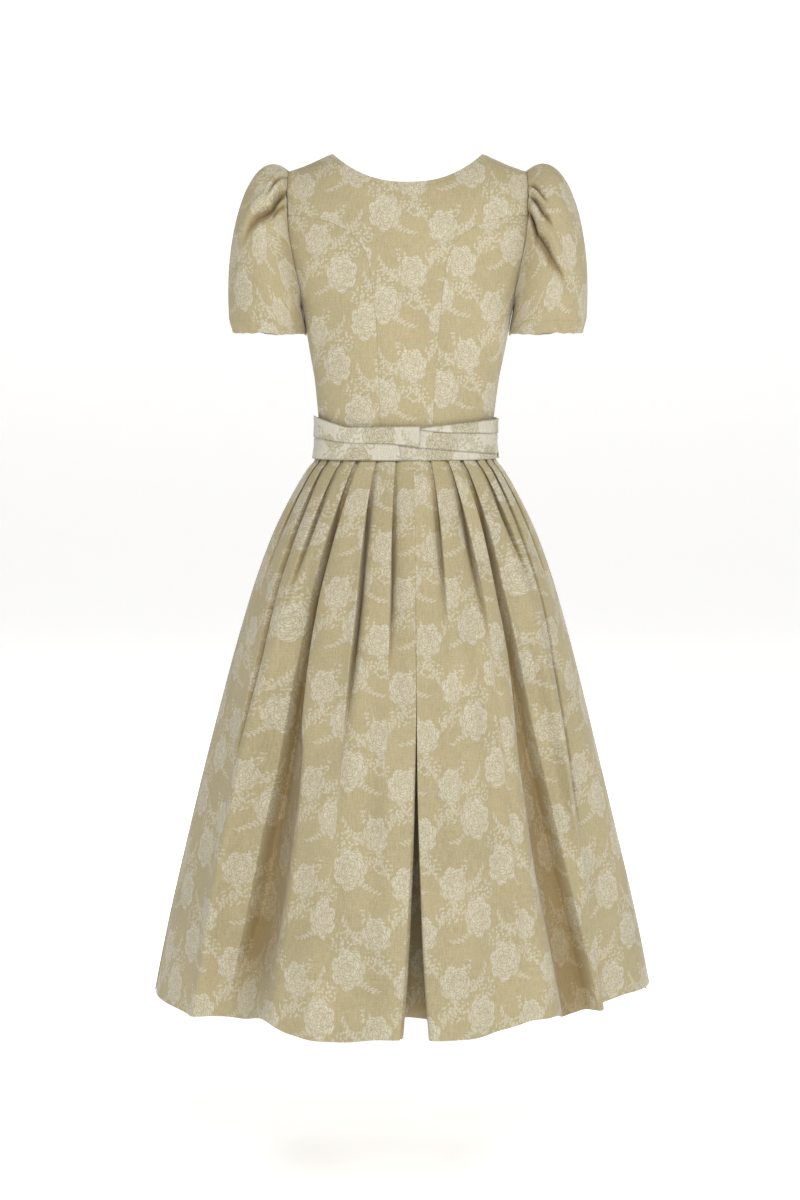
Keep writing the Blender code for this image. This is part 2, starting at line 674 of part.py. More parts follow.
def skirt_point(angle, z, depth, side):
    """A point of the skirt at an angle from the centre line (negative on the left), moved in by a depth."""
    power = 2 / squareness(z)
    wide, deep = column(SKIRT, "half_width", z), column(SKIRT, "back" if side == BACK else "front", z)
    s, c = math.sin(angle), max(math.cos(angle), 0.0)
    x, y = wide * math.copysign(abs(s) ** power, s), deep * c**power
    normal = np.array([x / wide**2, y / deep**2])
    normal /= np.linalg.norm(normal)
    x, y = x + depth * normal[0], y + depth * normal[1]
    return np.array([float(centre_x(z)) + x, side * y, z])


def angle_across(across, z):
    """The section's angle at a share of the half width."""
    return math.copysign(math.asin(min(abs(across), 1.0) ** (float(squareness(z)) / 2)), across)


def along_skirt(values, z):
    """A value that runs from the waist's over the hips' to the hem's."""
    return float(np.interp(-z, [-WAIST_Z, -HIP_Z, -HEM_Z], values))


def pleat_step(pleat, z):
    """How deep a knife pleat's step is at the height z."""
    grown = mix(PLEAT_WAIST_DEPTH, pleat.depth, float(ease((WAIST_Z - z) / PLEAT_GROWTH)))
    return grown * float(1 - ease((pleat.fade_z + PLEAT_FADE_LEAD - z) / PLEAT_FADE))


def valley_depth(across, z, valleys):
    """The broad hollows at a place of the skirt, as a negative distance."""
    depth = 0.0
    wide = float(column(SKIRT, "half_width", z))
    for valley in valleys:
        down = float(np.clip((valley.start_z - z) / (valley.start_z - HEM_Z), 0.0, 1.0))
        middle = mix(valley.top, valley.hem, down)
        half = valley.left_width if across < middle else valley.right_width
        away = min(abs(across - middle) * wide / (half * mix(VALLEY_START_WIDTH, 1.0, down)), 1.0)
        deep = valley.mid_depth * math.sin(math.pi * down) ** 2 + valley.hem_depth * down**VALLEY_POWER
        depth -= deep * (1 - away * away) ** 2
    return depth


def turn_per_metre(angle, z, side):
    """How far the section's angle turns along a metre of the skirt's smooth form."""
    before, after = (skirt_point(angle + step, z, 0.0, side) for step in (-SIDE_TEST, SIDE_TEST))
    return 2 * SIDE_TEST / max(float(np.linalg.norm(after - before)), 1e-6)


def skirt_row(z, side, left, right, box, valleys):
    """One level of a skirt half: its points from the left side seam to the right one."""
    opened = float(ease((WAIST_Z - z) / (WAIST_Z - HIP_Z)))
    tuck = PLEAT_TUCK * (1 - opened)
    mouth, floor, box_depth = (float(column(BOX_FOLDS, name, z)) for name in ("mouth", "floor", "depth"))
    middle = angle_across(along_skirt(box, z), z)
    box_turn = turn_per_metre(middle, z, side)
    box_bend = FOLD_BEND + BOX_ROUND * max(box_depth - 2 * FOLD_BEND, 0.0)

    def one_side(pleats, hand):
        """The pleats of one side, from the side seam to the box pleat, all facing the centre."""
        edges = [angle_across(along_skirt((p.waist, p.hip, p.hem), z), z) for p in pleats]
        steps = [pleat_step(p, z) for p in pleats]
        ends = edges[1:] + [middle + hand * mouth * box_turn]
        seam = hand * math.pi / 2
        row = [(seam + (edges[0] - seam) * share, 0.0) for share in SIDE_PANEL]
        for edge, step, end in zip(edges, steps, ends):
            gap = end - edge
            tucked = edge + hand * tuck * turn_per_metre(edge, z, side)
            bend = mix(FOLD_BEND, OPEN_BEND * step, opened)
            rest = mix(step - FOLD_BEND, OPEN_REST * step, opened)
            first, second, third = (share * opened * gap for share in OPEN_FOLD)
            row.append((edge, 0.0))
            row.append((edge + first, -bend))
            row.append((tucked + second, -rest))
            row.append((tucked + third, -step))
            row += [(edge + share * gap, -step * part) for share, part in RECESS]
        row.append((ends[-1], 0.0))
        row.append((ends[-1], -box_bend))
        row.append((middle + hand * floor * box_turn, -box_depth + box_bend))
        row.append((middle + hand * floor * box_turn * BOX_FLOOR_END, -box_depth))
        return row

    places = one_side(left, LEFT) + [(middle, -box_depth)] + one_side(right[::-1], RIGHT)[::-1]
    points = []
    for angle, depth in places:
        across = math.copysign(abs(math.sin(angle)) ** (2 / float(squareness(z))), angle)
        points.append(skirt_point(angle, z, depth + valley_depth(across, z, valleys), side))
    return points


def skirt_grid(side):
    """The front or back of the skirt, as rows of points from the waist to the hem."""
    chosen = (
        (BACK_PLEATS_LEFT, BACK_PLEATS_RIGHT, BACK_BOX_ACROSS, BACK_VALLEYS)
        if side == BACK
        else (FRONT_PLEATS_LEFT, FRONT_PLEATS_RIGHT, FRONT_BOX_ACROSS, FRONT_VALLEYS)
    )
    grid = np.array([skirt_row(z, side, *chosen) for z in SKIRT_LEVELS])
    return drawn_in(grid, first_column=SEAM_GAP, last_column=SEAM_GAP)


# ---- sash ----
SASH_DOWN = 3
SASH_TURNS = [math.radians(degrees) for degrees in range(-90, 91, 6)]
SASH_SAG = 0.0004  # what a flat facet of the sash sinks towards the body between two turns
SASH_END_CLEAR = 0.03  # radians that a turn keeps from a stretch's slanted end


def waist_point(angle, z, lift, side):
    """A point that lies over the waist, lifted off the bodice or skirt by a distance."""
    table = BODICE if z > WAIST_Z else SKIRT
    power = 2 / BODY_SQUARENESS
    wide = float(column(table, "half_width", z))
    deep = float(column(table, "back" if side == BACK else "front", z))
    s, c = math.sin(angle), max(math.cos(angle), 0.0)
    x, y = (wide + lift) * math.copysign(abs(s) ** power, s), (deep + lift) * c**power
    return np.array([float(centre_x(z)) + x, side * y, z])


def side_angle(x):
    """The angle of a place x on a sash edge; the edge's ends at the sides are a quarter turn."""
    return math.copysign(math.asin(min(abs(x) / SASH_SIDE_X, 1.0) ** (BODY_SQUARENESS / 2)), x)


def edge_z(edges, x):
    """The height of a sash edge over x."""
    return float(smooth(x, [e.x for e in edges], [e.z for e in edges]))


def sash_grid(top, low, layer):
    """A stretch of sash on the back between two edges, on its own layer."""
    lift = SASH_LIFT + SASH_SAG + SASH_STEP * layer
    starts = [side_angle(top[0].x), side_angle(low[0].x)]
    ends = [side_angle(top[-1].x), side_angle(low[-1].x)]
    first, last = max(starts) + SASH_END_CLEAR, min(ends) - SASH_END_CLEAR
    inside = [turn for turn in SASH_TURNS if first < turn < last]
    columns = []
    for turns in [starts] + [[turn, turn] for turn in inside] + [ends]:
        points = []
        for down in np.linspace(0, 1, SASH_DOWN):
            angle = mix(turns[0], turns[1], down)
            x = SASH_SIDE_X * math.copysign(abs(math.sin(angle)) ** (2 / BODY_SQUARENESS), angle)
            z = mix(edge_z(top, x), edge_z(low, x), down)
            points.append(waist_point(angle, z, lift, BACK))
        columns.append(points)
    grid = np.array(columns).transpose(1, 0, 2)
    return drawn_in(grid, first_column=SEAM_GAP, last_column=SEAM_GAP)


def sash_front_grid():
    """The plain band of sash over the front, from side to side."""
    lift = SASH_LIFT + SASH_SAG + SASH_STEP
    rows = []
    for z in np.linspace(SASH_TOP_Z, SASH_LOW_Z, SASH_DOWN + 1):
        rows.append([waist_point(turn, float(z), lift, FRONT) for turn in SASH_TURNS])
    return drawn_in(np.array(rows), first_column=SEAM_GAP, last_column=SEAM_GAP)


# ---- the garment ----
def linen(name, colour, roughness):
    """A plain cloth material."""
    material = bpy.data.materials.new(name)
    material.use_nodes = True
    shader = material.node_tree.nodes["Principled BSDF"]
    shader.inputs["Base Color"].default_value = (*colour, 1.0)
    shader.inputs["Roughness"].default_value = roughness
    shader.inputs["Metallic"].default_value = 0.0
    material.diffuse_color = (*colour, 1.0)
    return material


for leftover in list(bpy.data.objects):
    bpy.data.objects.remove(leftover, do_unlink=True)

parts = bpy.data.collections.new("dirndl")
bpy.context.scene.collection.children.link(parts)

dress_linen = linen("dress_linen", (0.52, 0.45, 0.28), 0.85)
sash_linen = linen("sash_linen", (0.66, 0.61, 0.48), 0.8)

cloth("back_centre", back_centre_grid(), WALL, dress_linen)
cloth("skirt_back", skirt_grid(BACK), WALL, dress_linen)
cloth("skirt_front", skirt_grid(FRONT), WALL, dress_linen)
for hand, word in ((LEFT, "left"), (RIGHT, "right")):
    cloth("back_side_" + word, back_side_grid(hand), WALL, dress_linen)
    cloth("front_" + word, front_grid(hand), WALL, dress_linen)
    cloth("sleeve_" + word, sleeve_grid(hand), WALL, dress_linen, wraps=True)
cloth("sash_left_upper", sash_grid(UPPER_TOP, UPPER_LOW, 2), SASH_WALL, sash_linen)
cloth("sash_left_lower", sash_grid(LOWER_LEFT_TOP, LOWER_LEFT_LOW, 1), SASH_WALL, sash_linen)
cloth("sash_right_top", sash_grid(WEDGE_TOP, WEDGE_LOW, 2), SASH_WALL, sash_linen)
cloth("sash_right_middle", sash_grid(MIDDLE_TOP, MIDDLE_LOW, 1), SASH_WALL, sash_linen)
cloth("sash_right_lower", sash_grid(LOWER_RIGHT_TOP, LOWER_RIGHT_LOW, 0), SASH_WALL, sash_linen)
cloth("sash_front", sash_front_grid(), SASH_WALL, sash_linen)
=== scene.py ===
"""The looks of a dirndl: a jacquard dress with puffed sleeves, a wound sash and a full pleated skirt.

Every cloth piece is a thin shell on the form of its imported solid. Lengths are in metres, Z is up, the
origin lies between the shoulder seams, and the back of the dress faces -Y. A point of the body is placed by
its height z and by an angle, which is 0 at the centre line and 90 degrees at the side. "Across" is x as a
share of the half width. Cloth coordinates (u across, v up the cloth, in metres) are kept as a UV map.
"""

from __future__ import annotations

import logging
import math
from dataclasses import dataclass, field
from enum import Enum
from typing import Callable, Sequence

import bpy
import numpy as np
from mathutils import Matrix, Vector

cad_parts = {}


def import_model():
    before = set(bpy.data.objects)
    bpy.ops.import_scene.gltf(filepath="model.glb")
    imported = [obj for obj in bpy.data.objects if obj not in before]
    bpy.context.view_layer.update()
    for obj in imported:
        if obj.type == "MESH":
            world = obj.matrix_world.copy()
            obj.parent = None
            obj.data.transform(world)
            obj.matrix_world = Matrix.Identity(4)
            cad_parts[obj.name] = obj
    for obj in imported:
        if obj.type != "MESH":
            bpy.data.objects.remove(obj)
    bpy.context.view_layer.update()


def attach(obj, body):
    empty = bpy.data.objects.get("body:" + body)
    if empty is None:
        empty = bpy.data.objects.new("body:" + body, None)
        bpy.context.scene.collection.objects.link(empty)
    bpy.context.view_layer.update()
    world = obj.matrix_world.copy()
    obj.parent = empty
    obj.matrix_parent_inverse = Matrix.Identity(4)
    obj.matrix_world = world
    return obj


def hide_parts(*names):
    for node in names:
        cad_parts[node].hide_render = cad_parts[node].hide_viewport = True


LOG = logging.getLogger("dirndl")
Array = np.ndarray


class Hand(Enum):
    """A side of the wearer, as the sign of x."""

    LEFT = -1
    RIGHT = 1


class Side(Enum):
    """The back or the front, as the sign of y."""

    BACK = -1
    FRONT = 1


# ---------------------------------------------------------------- curves
def ease(value: Array | float) -> Array | float:
    """Return a soft step from 0 to 1."""
    t = np.clip(value, 0.0, 1.0)
    return t * t * (3 - 2 * t)


def mix(first: Array | float, last: Array | float, share: Array | float) -> Array | float:
    """Return the value that lies a share of the way from the first to the last."""
    return first + (last - first) * share


def smooth(value: Array | float, places: Sequence[float], amounts: Sequence[float]) -> Array:
    """Read a smooth curve through a short table, flat beyond its ends.

    Args:
        value: Where the curve is read.
        places: The table's places, which rise or fall steadily.
        amounts: The table's value at each place.

    Returns:
        The curve's value at each wanted place.
    """
    xs, ys = np.array(places, float), np.array(amounts, float)
    if xs[0] > xs[-1]:
        xs, ys = xs[::-1], ys[::-1]
    steps = np.diff(xs)
    rises = np.diff(ys) / steps
    slopes = np.concatenate([[rises[0]], np.zeros(len(xs) - 2), [rises[-1]]])
    same = rises[:-1] * rises[1:] > 0
    slopes[1:-1][same] = 2 * rises[:-1][same] * rises[1:][same] / (rises[:-1] + rises[1:])[same]
    v = np.clip(np.asarray(value, float), xs[0], xs[-1])
    i = np.clip(np.searchsorted(xs, v) - 1, 0, len(steps) - 1)
    t = (v - xs[i]) / steps[i]
    first = (1 + 2 * t) * (1 - t) ** 2 * ys[i] + t * (1 - t) ** 2 * steps[i] * slopes[i]
    return first + t * t * (3 - 2 * t) * ys[i + 1] + t * t * (t - 1) * steps[i] * slopes[i + 1]


def refined(rows: Array, factor: int) -> Array:
    """Put more rows between the rows of an array, on a smooth curve through them.

    Args:
        rows: The array.
        factor: How many steps each step between two rows is cut into.

    Returns:
        The finer array.
    """
    wanted = np.linspace(0, len(rows) - 1, (len(rows) - 1) * factor + 1)
    flat = rows.reshape(len(rows), -1)
    columns = [smooth(wanted, range(len(rows)), flat[:, k]) for k in range(flat.shape[1])]
    return np.stack(columns, axis=1).reshape((len(wanted),) + rows.shape[1:])


def cut_corners(line: Array, rounds: int, share: float = 0.25) -> Array:
    """Round the corners of lines, and keep their ends.

    Args:
        line: The lines, whose points run along the last axis but one.
        rounds: How often the corners are cut.
        share: How far from a corner each cut is, as a share of its step.

    Returns:
        The rounded lines.
    """
    for _ in range(rounds):
        first, last = line[..., :1, :], line[..., -1:, :]
        near = mix(line[..., :-1, :], line[..., 1:, :], share)
        far = mix(line[..., :-1, :], line[..., 1:, :], 1 - share)
        inner = np.stack([near, far], axis=-2).reshape(line.shape[:-2] + (-1, line.shape[-1]))
        line = np.concatenate([first, inner, last], axis=-2)
    return line


def walked(points: Array, axis: int) -> Array:
    """Measure the way along one axis of a grid of points.

    Args:
        points: The grid, with x, y and z along its last axis.
        axis: The axis that is followed.

    Returns:
        The distance of each point from the first of its line.
    """
    steps = np.linalg.norm(np.diff(points, axis=axis), axis=-1)
    start = np.zeros_like(np.take(steps, [0], axis=axis))
    return np.concatenate([start, np.cumsum(steps, axis=axis)], axis=axis)


@dataclass(frozen=True)
class Wave:
    """A sine wave over one or two coordinates."""

    height: float
    count: float
    phase: float = 0.0
    drift: float = 0.0

    def at(self, first: Array | float, second: Array | float = 0.0, shift: float = 0.0) -> Array:
        """Return the wave's value."""
        return self.height * np.sin(first * self.count + second * self.drift + self.phase + shift)


# ---------------------------------------------------------------- the body of the dress
@dataclass(frozen=True)
class Section:
    """One horizontal section of the dress: its half width and its depth to the back and to the front."""

    z: float
    half_width: float
    back: float
    front: float


BODICE: list[Section] = [
    Section(0.010, 0.186, 0.085, 0.080),
    Section(-0.050, 0.183, 0.086, 0.084),
    Section(-0.104, 0.178, 0.089, 0.094),
    Section(-0.143, 0.170, 0.094, 0.105),
    Section(-0.179, 0.160, 0.097, 0.113),
    Section(-0.215, 0.150, 0.098, 0.117),
    Section(-0.254, 0.1425, 0.097, 0.117),
    Section(-0.284, 0.1370, 0.094, 0.112),
    Section(-0.322, 0.1300, 0.089, 0.103),
    Section(-0.345, 0.1272, 0.0865, 0.098),
    Section(-0.385, 0.1236, 0.084, 0.092),
    Section(-0.4275, 0.1270, 0.086, 0.096),
]
SKIRT: list[Section] = [
    Section(-0.4275, 0.1270, 0.086, 0.096),
    Section(-0.4345, 0.1284, 0.088, 0.098),
    Section(-0.4430, 0.1360, 0.094, 0.103),
    Section(-0.4700, 0.1530, 0.112, 0.118),
    Section(-0.5100, 0.1740, 0.134, 0.137),
    Section(-0.5410, 0.1880, 0.148, 0.149),
    Section(-0.6050, 0.2110, 0.174, 0.171),
    Section(-0.6840, 0.2340, 0.200, 0.194),
    Section(-0.8080, 0.2660, 0.233, 0.224),
    Section(-0.9500, 0.3010, 0.266, 0.254),
    Section(-1.0890, 0.3345, 0.297, 0.281),
    Section(-1.1860, 0.3560, 0.316, 0.298),
]


def column(table: Sequence[Section], name: str, z: Array | float) -> Array:
    """Read one named column of a table of sections at the height z."""
    return smooth(z, [row.z for row in table], [getattr(row, name) for row in table])


@dataclass(frozen=True)
class Figure:
    """The smooth form that the cloth lies on, with its driving sizes."""

    waist_z: float = -0.4275
    underarm_z: float = -0.215
    hip_z: float = -0.620
    hem_z: float = -1.186
    neck_half_width: float = 0.1065
    shoulder_half_width: float = 0.170
    shoulder_fall: float = 0.0280
    shoulder_arch: float = 0.35
    shoulder_softness: float = 0.02
    back_neck_drop: float = 0.043
    back_neck_power: float = 2.4
    front_neck_drop: float = 0.163
    front_neck_power: float = 3.0
    front_neck_round: float = 0.6
    back_round: float = 0.12
    front_round: float = 0.15
    squareness: float = 2.4
    hem_squareness: float = 2.0
    square_down: float = 0.16
    bust_x: float = 0.082
    bust_z: float = -0.245
    bust_rise: float = 0.013
    bust_width: float = 0.050
    bust_height: float = 0.055
    armhole_share: tuple[float, ...] = (0.0, 0.25, 0.5, 0.75, 0.9, 1.0)
    armhole_back: tuple[float, ...] = (65.4, 67.0, 69.8, 74.0, 81.0, 90.0)
    armhole_front: tuple[float, ...] = (65.4, 64.0, 64.5, 70.0, 79.5, 90.0)
    lean_down: tuple[float, ...] = (0.25, 0.43, 1.19)
    lean_x: tuple[float, ...] = (0.0, -0.0028, -0.0100)

    def centre_x(self, z: Array | float) -> Array:
        """Return the middle line, which leans a little to the left towards the hem."""
        return np.interp(-np.asarray(z, float), self.lean_down, self.lean_x)

    def shoulder_z(self, x: Array | float) -> Array:
        """Find the height of the shoulder seam, level inside the neck.

        Args:
            x: Distances from the centre line.

        Returns:
            The seam's height over each.
        """
        reach = (np.abs(x) - self.neck_half_width) / (self.shoulder_half_width - self.neck_half_width)
        outside = (reach + np.sqrt(reach * reach + self.shoulder_softness)) / 2
        at_neck = math.sqrt(self.shoulder_softness) / 2
        arch = self.shoulder_arch
        return -self.shoulder_fall * ((1 + arch) * (outside - at_neck) - arch * outside * outside)

    def angle_at(self, x: Array | float, z: Array | float) -> Array:
        """Return the section's angle at a distance x from the centre line."""
        share = np.clip(np.abs(x) / column(BODICE, "half_width", z), 0.0, 1.0)
        return np.arcsin(share ** (self.squareness / 2))

    def torso(self, angle: Array, z: Array, hand: Hand, side: Side) -> Array:
        """Place points of the bodice.

        Args:
            angle: Angles from the centre line, in radians.
            z: Heights.
            hand: Which side of the wearer.
            side: Back or front.

        Returns:
            The points, with x, y and z along the last axis.
        """
        power = 2 / self.squareness
        x = column(BODICE, "half_width", z) * np.abs(np.sin(angle)) ** power
        drop = np.clip(self.shoulder_z(x) - z, 0.0, None)
        rounding = self.back_round if side is Side.BACK else self.front_round
        risen = np.sqrt(1 - (1 - np.clip(drop / rounding, 0.0, 1.0)) ** 2)
        depth = column(BODICE, "back" if side is Side.BACK else "front", z) * risen
        depth = depth * np.clip(np.cos(angle), 0.0, 1.0) ** power
        if side is Side.FRONT:
            near = ((x - self.bust_x) / self.bust_width) ** 2 + ((z - self.bust_z) / self.bust_height) ** 2
            depth = depth + self.bust_rise * np.exp(-near) * np.cos(angle)
        return np.stack([self.centre_x(z) + hand.value * x, side.value * depth, z + 0 * x], axis=-1)

    def armhole(self, share: Array | float, side: Side) -> tuple[Array, Array]:
        """Follow the armhole's edge.

        Args:
            share: The share of the way, 0 at the shoulder and 1 at the underarm.
            side: Back or front.

        Returns:
            The edge's angle and height.
        """
        table = self.armhole_back if side is Side.BACK else self.armhole_front
        top = float(self.shoulder_z(self.shoulder_half_width))
        z = top + (self.underarm_z - top) * (1 - np.cos(np.pi * np.asarray(share, float))) / 2
        return np.radians(smooth(share, self.armhole_share, table)), z

    def share_at(self, z: Array | float) -> Array:
        """Return the share along the armhole at the height z."""
        top = float(self.shoulder_z(self.shoulder_half_width))
        return np.arccos(np.clip(1 - 2 * (np.asarray(z) - top) / (self.underarm_z - top), -1.0, 1.0)) / np.pi

    def neckline(self, x: Array, side: Side) -> Array:
        """Find the height of the neck's edge.

        Args:
            x: Distances from the centre line.
            side: Back or front.

        Returns:
            The edge's height over each.
        """
        share = np.clip(np.abs(x) / self.neck_half_width, 0.0, 1.0)
        if side is Side.BACK:
            drop = self.back_neck_drop * (1 - share**self.back_neck_power)
        else:
            drop = self.front_neck_drop * (1 - share**self.front_neck_power) ** self.front_neck_round
        return float(self.shoulder_z(self.neck_half_width)) - drop

    def top_edge(self, side: Side, neck_steps: int, shoulder_steps: int) -> tuple[Array, Array]:
        """Follow the neckline from its centre, then the shoulder seam.

        Args:
            side: Back or front.
            neck_steps: Steps along the neckline.
            shoulder_steps: Steps along the shoulder seam.

        Returns:
            The points' x and z.
        """
        neck_x = self.neck_half_width * np.sin(np.linspace(0, np.pi / 2, neck_steps + 1))
        shoulder = np.linspace(self.neck_half_width, self.shoulder_half_width, shoulder_steps + 1)[1:]
        xs = np.concatenate([neck_x, shoulder])
        return xs, np.concatenate([self.neckline(neck_x, side), self.shoulder_z(shoulder)])

    def exponent(self, z: Array | float) -> Array:
        """Return the skirt section's exponent, from the waist's rounded box to the hem's oval."""
        return mix(self.squareness, self.hem_squareness, ease((self.waist_z - z) / self.square_down))

    def skirt(self, angle: Array, z: Array, depth: Array, side: Side) -> Array:
        """Place points of the skirt.

        Args:
            angle: Angles from the centre line, in radians, negative on the left.
            z: Heights.
            depth: How far the points stand off the smooth form, negative where they sink in.
            side: Back or front.

        Returns:
            The points, with x, y and z along the last axis.
        """
        wide, deep = column(SKIRT, "half_width", z), column(SKIRT, side.name.lower(), z)
        x, y = self._oval(angle, wide, deep, self.exponent(z))
        nx, ny = x / wide**2, y / deep**2
        length = np.sqrt(nx * nx + ny * ny)
        x, y = x + depth * nx / length, y + depth * ny / length
        return np.stack([self.centre_x(z) + x, side.value * y, z + 0 * x], axis=-1)

    def angle_across(self, across: Array, z: Array) -> Array:
        """Return the skirt section's angle at a share of the half width."""
        return np.sign(across) * np.arcsin(np.clip(np.abs(across), 0, 1) ** (self.exponent(z) / 2))

    def waist(self, angle: Array, z: Array, lift: Array | float, side: Side) -> Array:
        """Place points over the waist.

        Args:
            angle: Angles from the centre line, in radians, negative on the left.
            z: Heights.
            lift: How far the points are off the bodice or the skirt.
            side: Back or front.

        Returns:
            The points, with x, y and z along the last axis.
        """
        above = z > self.waist_z
        names = "half_width", side.name.lower()
        wide, deep = (np.where(above, column(BODICE, name, z), column(SKIRT, name, z)) for name in names)
        x, y = self._oval(angle, wide + lift, deep + lift, self.squareness)
        return np.stack([self.centre_x(z) + x, side.value * y, z + 0 * x], axis=-1)

    def _oval(self, angle: Array, wide: Array, deep: Array, square: Array | float) -> tuple[Array, Array]:
        """Find points of a rounded box.

        Args:
            angle: Angles from the centre line, in radians, negative on the left.
            wide: The half width.
            deep: The depth.
            square: The exponent, 2 for an oval and more for a squarer form.

        Returns:
            The points' x, and their distance from the middle plane.
        """
        s, c = np.sin(angle), np.clip(np.cos(angle), 0.0, None)
        return wide * np.sign(s) * np.abs(s) ** (2 / square), deep * c ** (2 / square)


FIGURE = Figure()


# ---------------------------------------------------------------- a piece of cloth
class Held(Enum):
    """How a sheet of cloth is held."""

    HUNG = "hung"
    GATHERED = "gathered"
    FOLDED = "folded"


# Each mark with its value where a piece leaves it out; hollow sets the painted shade of folds.
MARKS = {"hollow": 0.0, "stitch": 1.0, "seam": 1.0}


@dataclass
class Cloth:
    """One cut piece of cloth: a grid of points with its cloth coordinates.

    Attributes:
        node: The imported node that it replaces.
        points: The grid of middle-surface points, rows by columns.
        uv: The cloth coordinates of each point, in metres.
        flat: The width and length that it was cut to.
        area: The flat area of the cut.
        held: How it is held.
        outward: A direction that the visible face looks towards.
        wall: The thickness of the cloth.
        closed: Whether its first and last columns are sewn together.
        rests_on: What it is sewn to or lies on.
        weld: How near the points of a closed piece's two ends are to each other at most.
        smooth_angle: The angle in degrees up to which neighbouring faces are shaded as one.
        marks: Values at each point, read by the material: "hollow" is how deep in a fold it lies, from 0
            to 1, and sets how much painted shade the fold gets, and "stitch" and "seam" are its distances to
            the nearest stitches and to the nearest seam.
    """

    node: str
    points: Array
    uv: Array
    flat: tuple[float, float]
    area: float
    held: Held
    outward: Callable[[Array], Array]
    wall: float = 0.0008
    closed: bool = False
    rests_on: tuple[str, ...] = ()
    weld: float = 0.00002
    smooth_angle: float = 60.0
    marks: dict[str, Array] = field(default_factory=dict)

    def build(self, finish: bpy.types.Material, slot: str) -> bpy.types.Object:
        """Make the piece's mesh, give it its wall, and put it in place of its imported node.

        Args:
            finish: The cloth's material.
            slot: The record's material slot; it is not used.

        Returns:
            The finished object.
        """
        rows, columns = self.points.shape[:2]
        bpy.ops.object.select_all(action="DESELECT")
        bpy.ops.mesh.primitive_grid_add(x_subdivisions=columns - 1, y_subdivisions=rows - 1, size=1)
        piece = bpy.context.object
        piece.name = piece.data.name = "cloth_" + self.node
        mesh = piece.data
        mesh.vertices.foreach_set("co", self.points.reshape(-1, 3).astype(np.float32).ravel())
        corners = np.zeros(len(mesh.loops), dtype=np.int32)
        mesh.loops.foreach_get("vertex_index", corners)
        while mesh.uv_layers:
            mesh.uv_layers.remove(mesh.uv_layers[0])
        layer = mesh.uv_layers.new(name="cloth")
        layer.data.foreach_set("uv", self.uv.reshape(-1, 2)[corners].astype(np.float32).ravel())
        for name, unmarked in MARKS.items():
            values = np.broadcast_to(self.marks.get(name, unmarked), self.points.shape[:2])
            mark = mesh.attributes.new(name, "FLOAT", "POINT")
            mark.data.foreach_set("value", values.astype(np.float32).ravel())
        mesh.update()
        self._turn_outward(mesh)
        if self.closed:
            bpy.ops.object.mode_set(mode="EDIT")
            bpy.ops.mesh.select_all(action="SELECT")
            bpy.ops.mesh.remove_doubles(threshold=self.weld)
            bpy.ops.object.mode_set(mode="OBJECT")
        solidify = piece.modifiers.new("wall", "SOLIDIFY")
        solidify.thickness = self.wall
        solidify.offset = 0.0
        bpy.ops.object.modifier_apply(modifier=solidify.name)
        bpy.ops.object.shade_smooth_by_angle(angle=math.radians(self.smooth_angle))
        mesh.materials.clear()
        mesh.materials.append(finish)
        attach(piece, "root")
        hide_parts(self.node)
        LOG.info("%s: %d faces", piece.name, len(mesh.polygons))
        return piece

    def _turn_outward(self, mesh: bpy.types.Mesh) -> None:
        """Turn all faces over if most of them look inward.

        Args:
            mesh: The piece's mesh.
        """
        centres, normals = np.zeros((2, len(mesh.polygons) * 3))
        mesh.polygons.foreach_get("center", centres)
        mesh.polygons.foreach_get("normal", normals)
        if (self.outward(centres.reshape(-1, 3)) * normals.reshape(-1, 3)).sum() < 0:
            mesh.flip_normals()


def to_ends(points: Array, axis: int) -> Array:
    """Return each point's distance to the nearer end of its row or column, measured on the cloth."""
    away = walked(points, axis=axis)
    return np.minimum(away, np.take(away, [-1], axis=axis) - away)


def nearest(*distances: Array) -> Array:
    """Return, at each point, the signed distance that is the smallest."""
    stacked = np.stack(np.broadcast_arrays(*distances))
    return np.take_along_axis(stacked, np.abs(stacked).argmin(axis=0)[None], axis=0)[0]


def from_axis(points: Array) -> Array:
    """Find the directions away from the dress's upright middle line.

    Args:
        points: Places, one row each.

    Returns:
        The direction at each place, not of unit length.
    """
    away = points.copy()
    away[:, 0] -= FIGURE.centre_x(points[:, 2])
    away[:, 2] = 0.0
    return away


# ---------------------------------------------------------------- bodice
@dataclass(frozen=True)
class SeamPoint:
    """A point of the curved back seam, and where its row of points ends at the centre and at the side."""

    x: float
    z: float
    centre_z: float
    side_z: float


BACK_SEAM: list[SeamPoint] = [
    SeamPoint(0.0360, -0.4275, -0.4275, -0.4275),
    SeamPoint(0.0372, -0.3900, -0.3900, -0.3900),
    SeamPoint(0.0385, -0.3450, -0.3450, -0.3450),
    SeamPoint(0.0408, -0.2950, -0.2950, -0.2980),
    SeamPoint(0.0440, -0.2480, -0.2500, -0.2550),
    SeamPoint(0.0480, -0.2080, -0.2150, -0.2150),
    SeamPoint(0.0515, -0.1780, -0.1880, -0.2134),
    SeamPoint(0.0550, -0.1540, -0.1690, -0.2060),
    SeamPoint(0.0625, -0.1350, -0.1490, -0.1910),
    SeamPoint(0.0750, -0.1195, -0.1320, -0.1710),
    SeamPoint(0.0930, -0.1070, -0.1150, -0.1480),
    SeamPoint(0.1200, -0.0960, -0.0980, -0.1230),
    SeamPoint(0.1450, -0.0905, -0.0880, -0.1020),
    SeamPoint(0.1660, -0.0885, -0.0800, -0.0905),
]


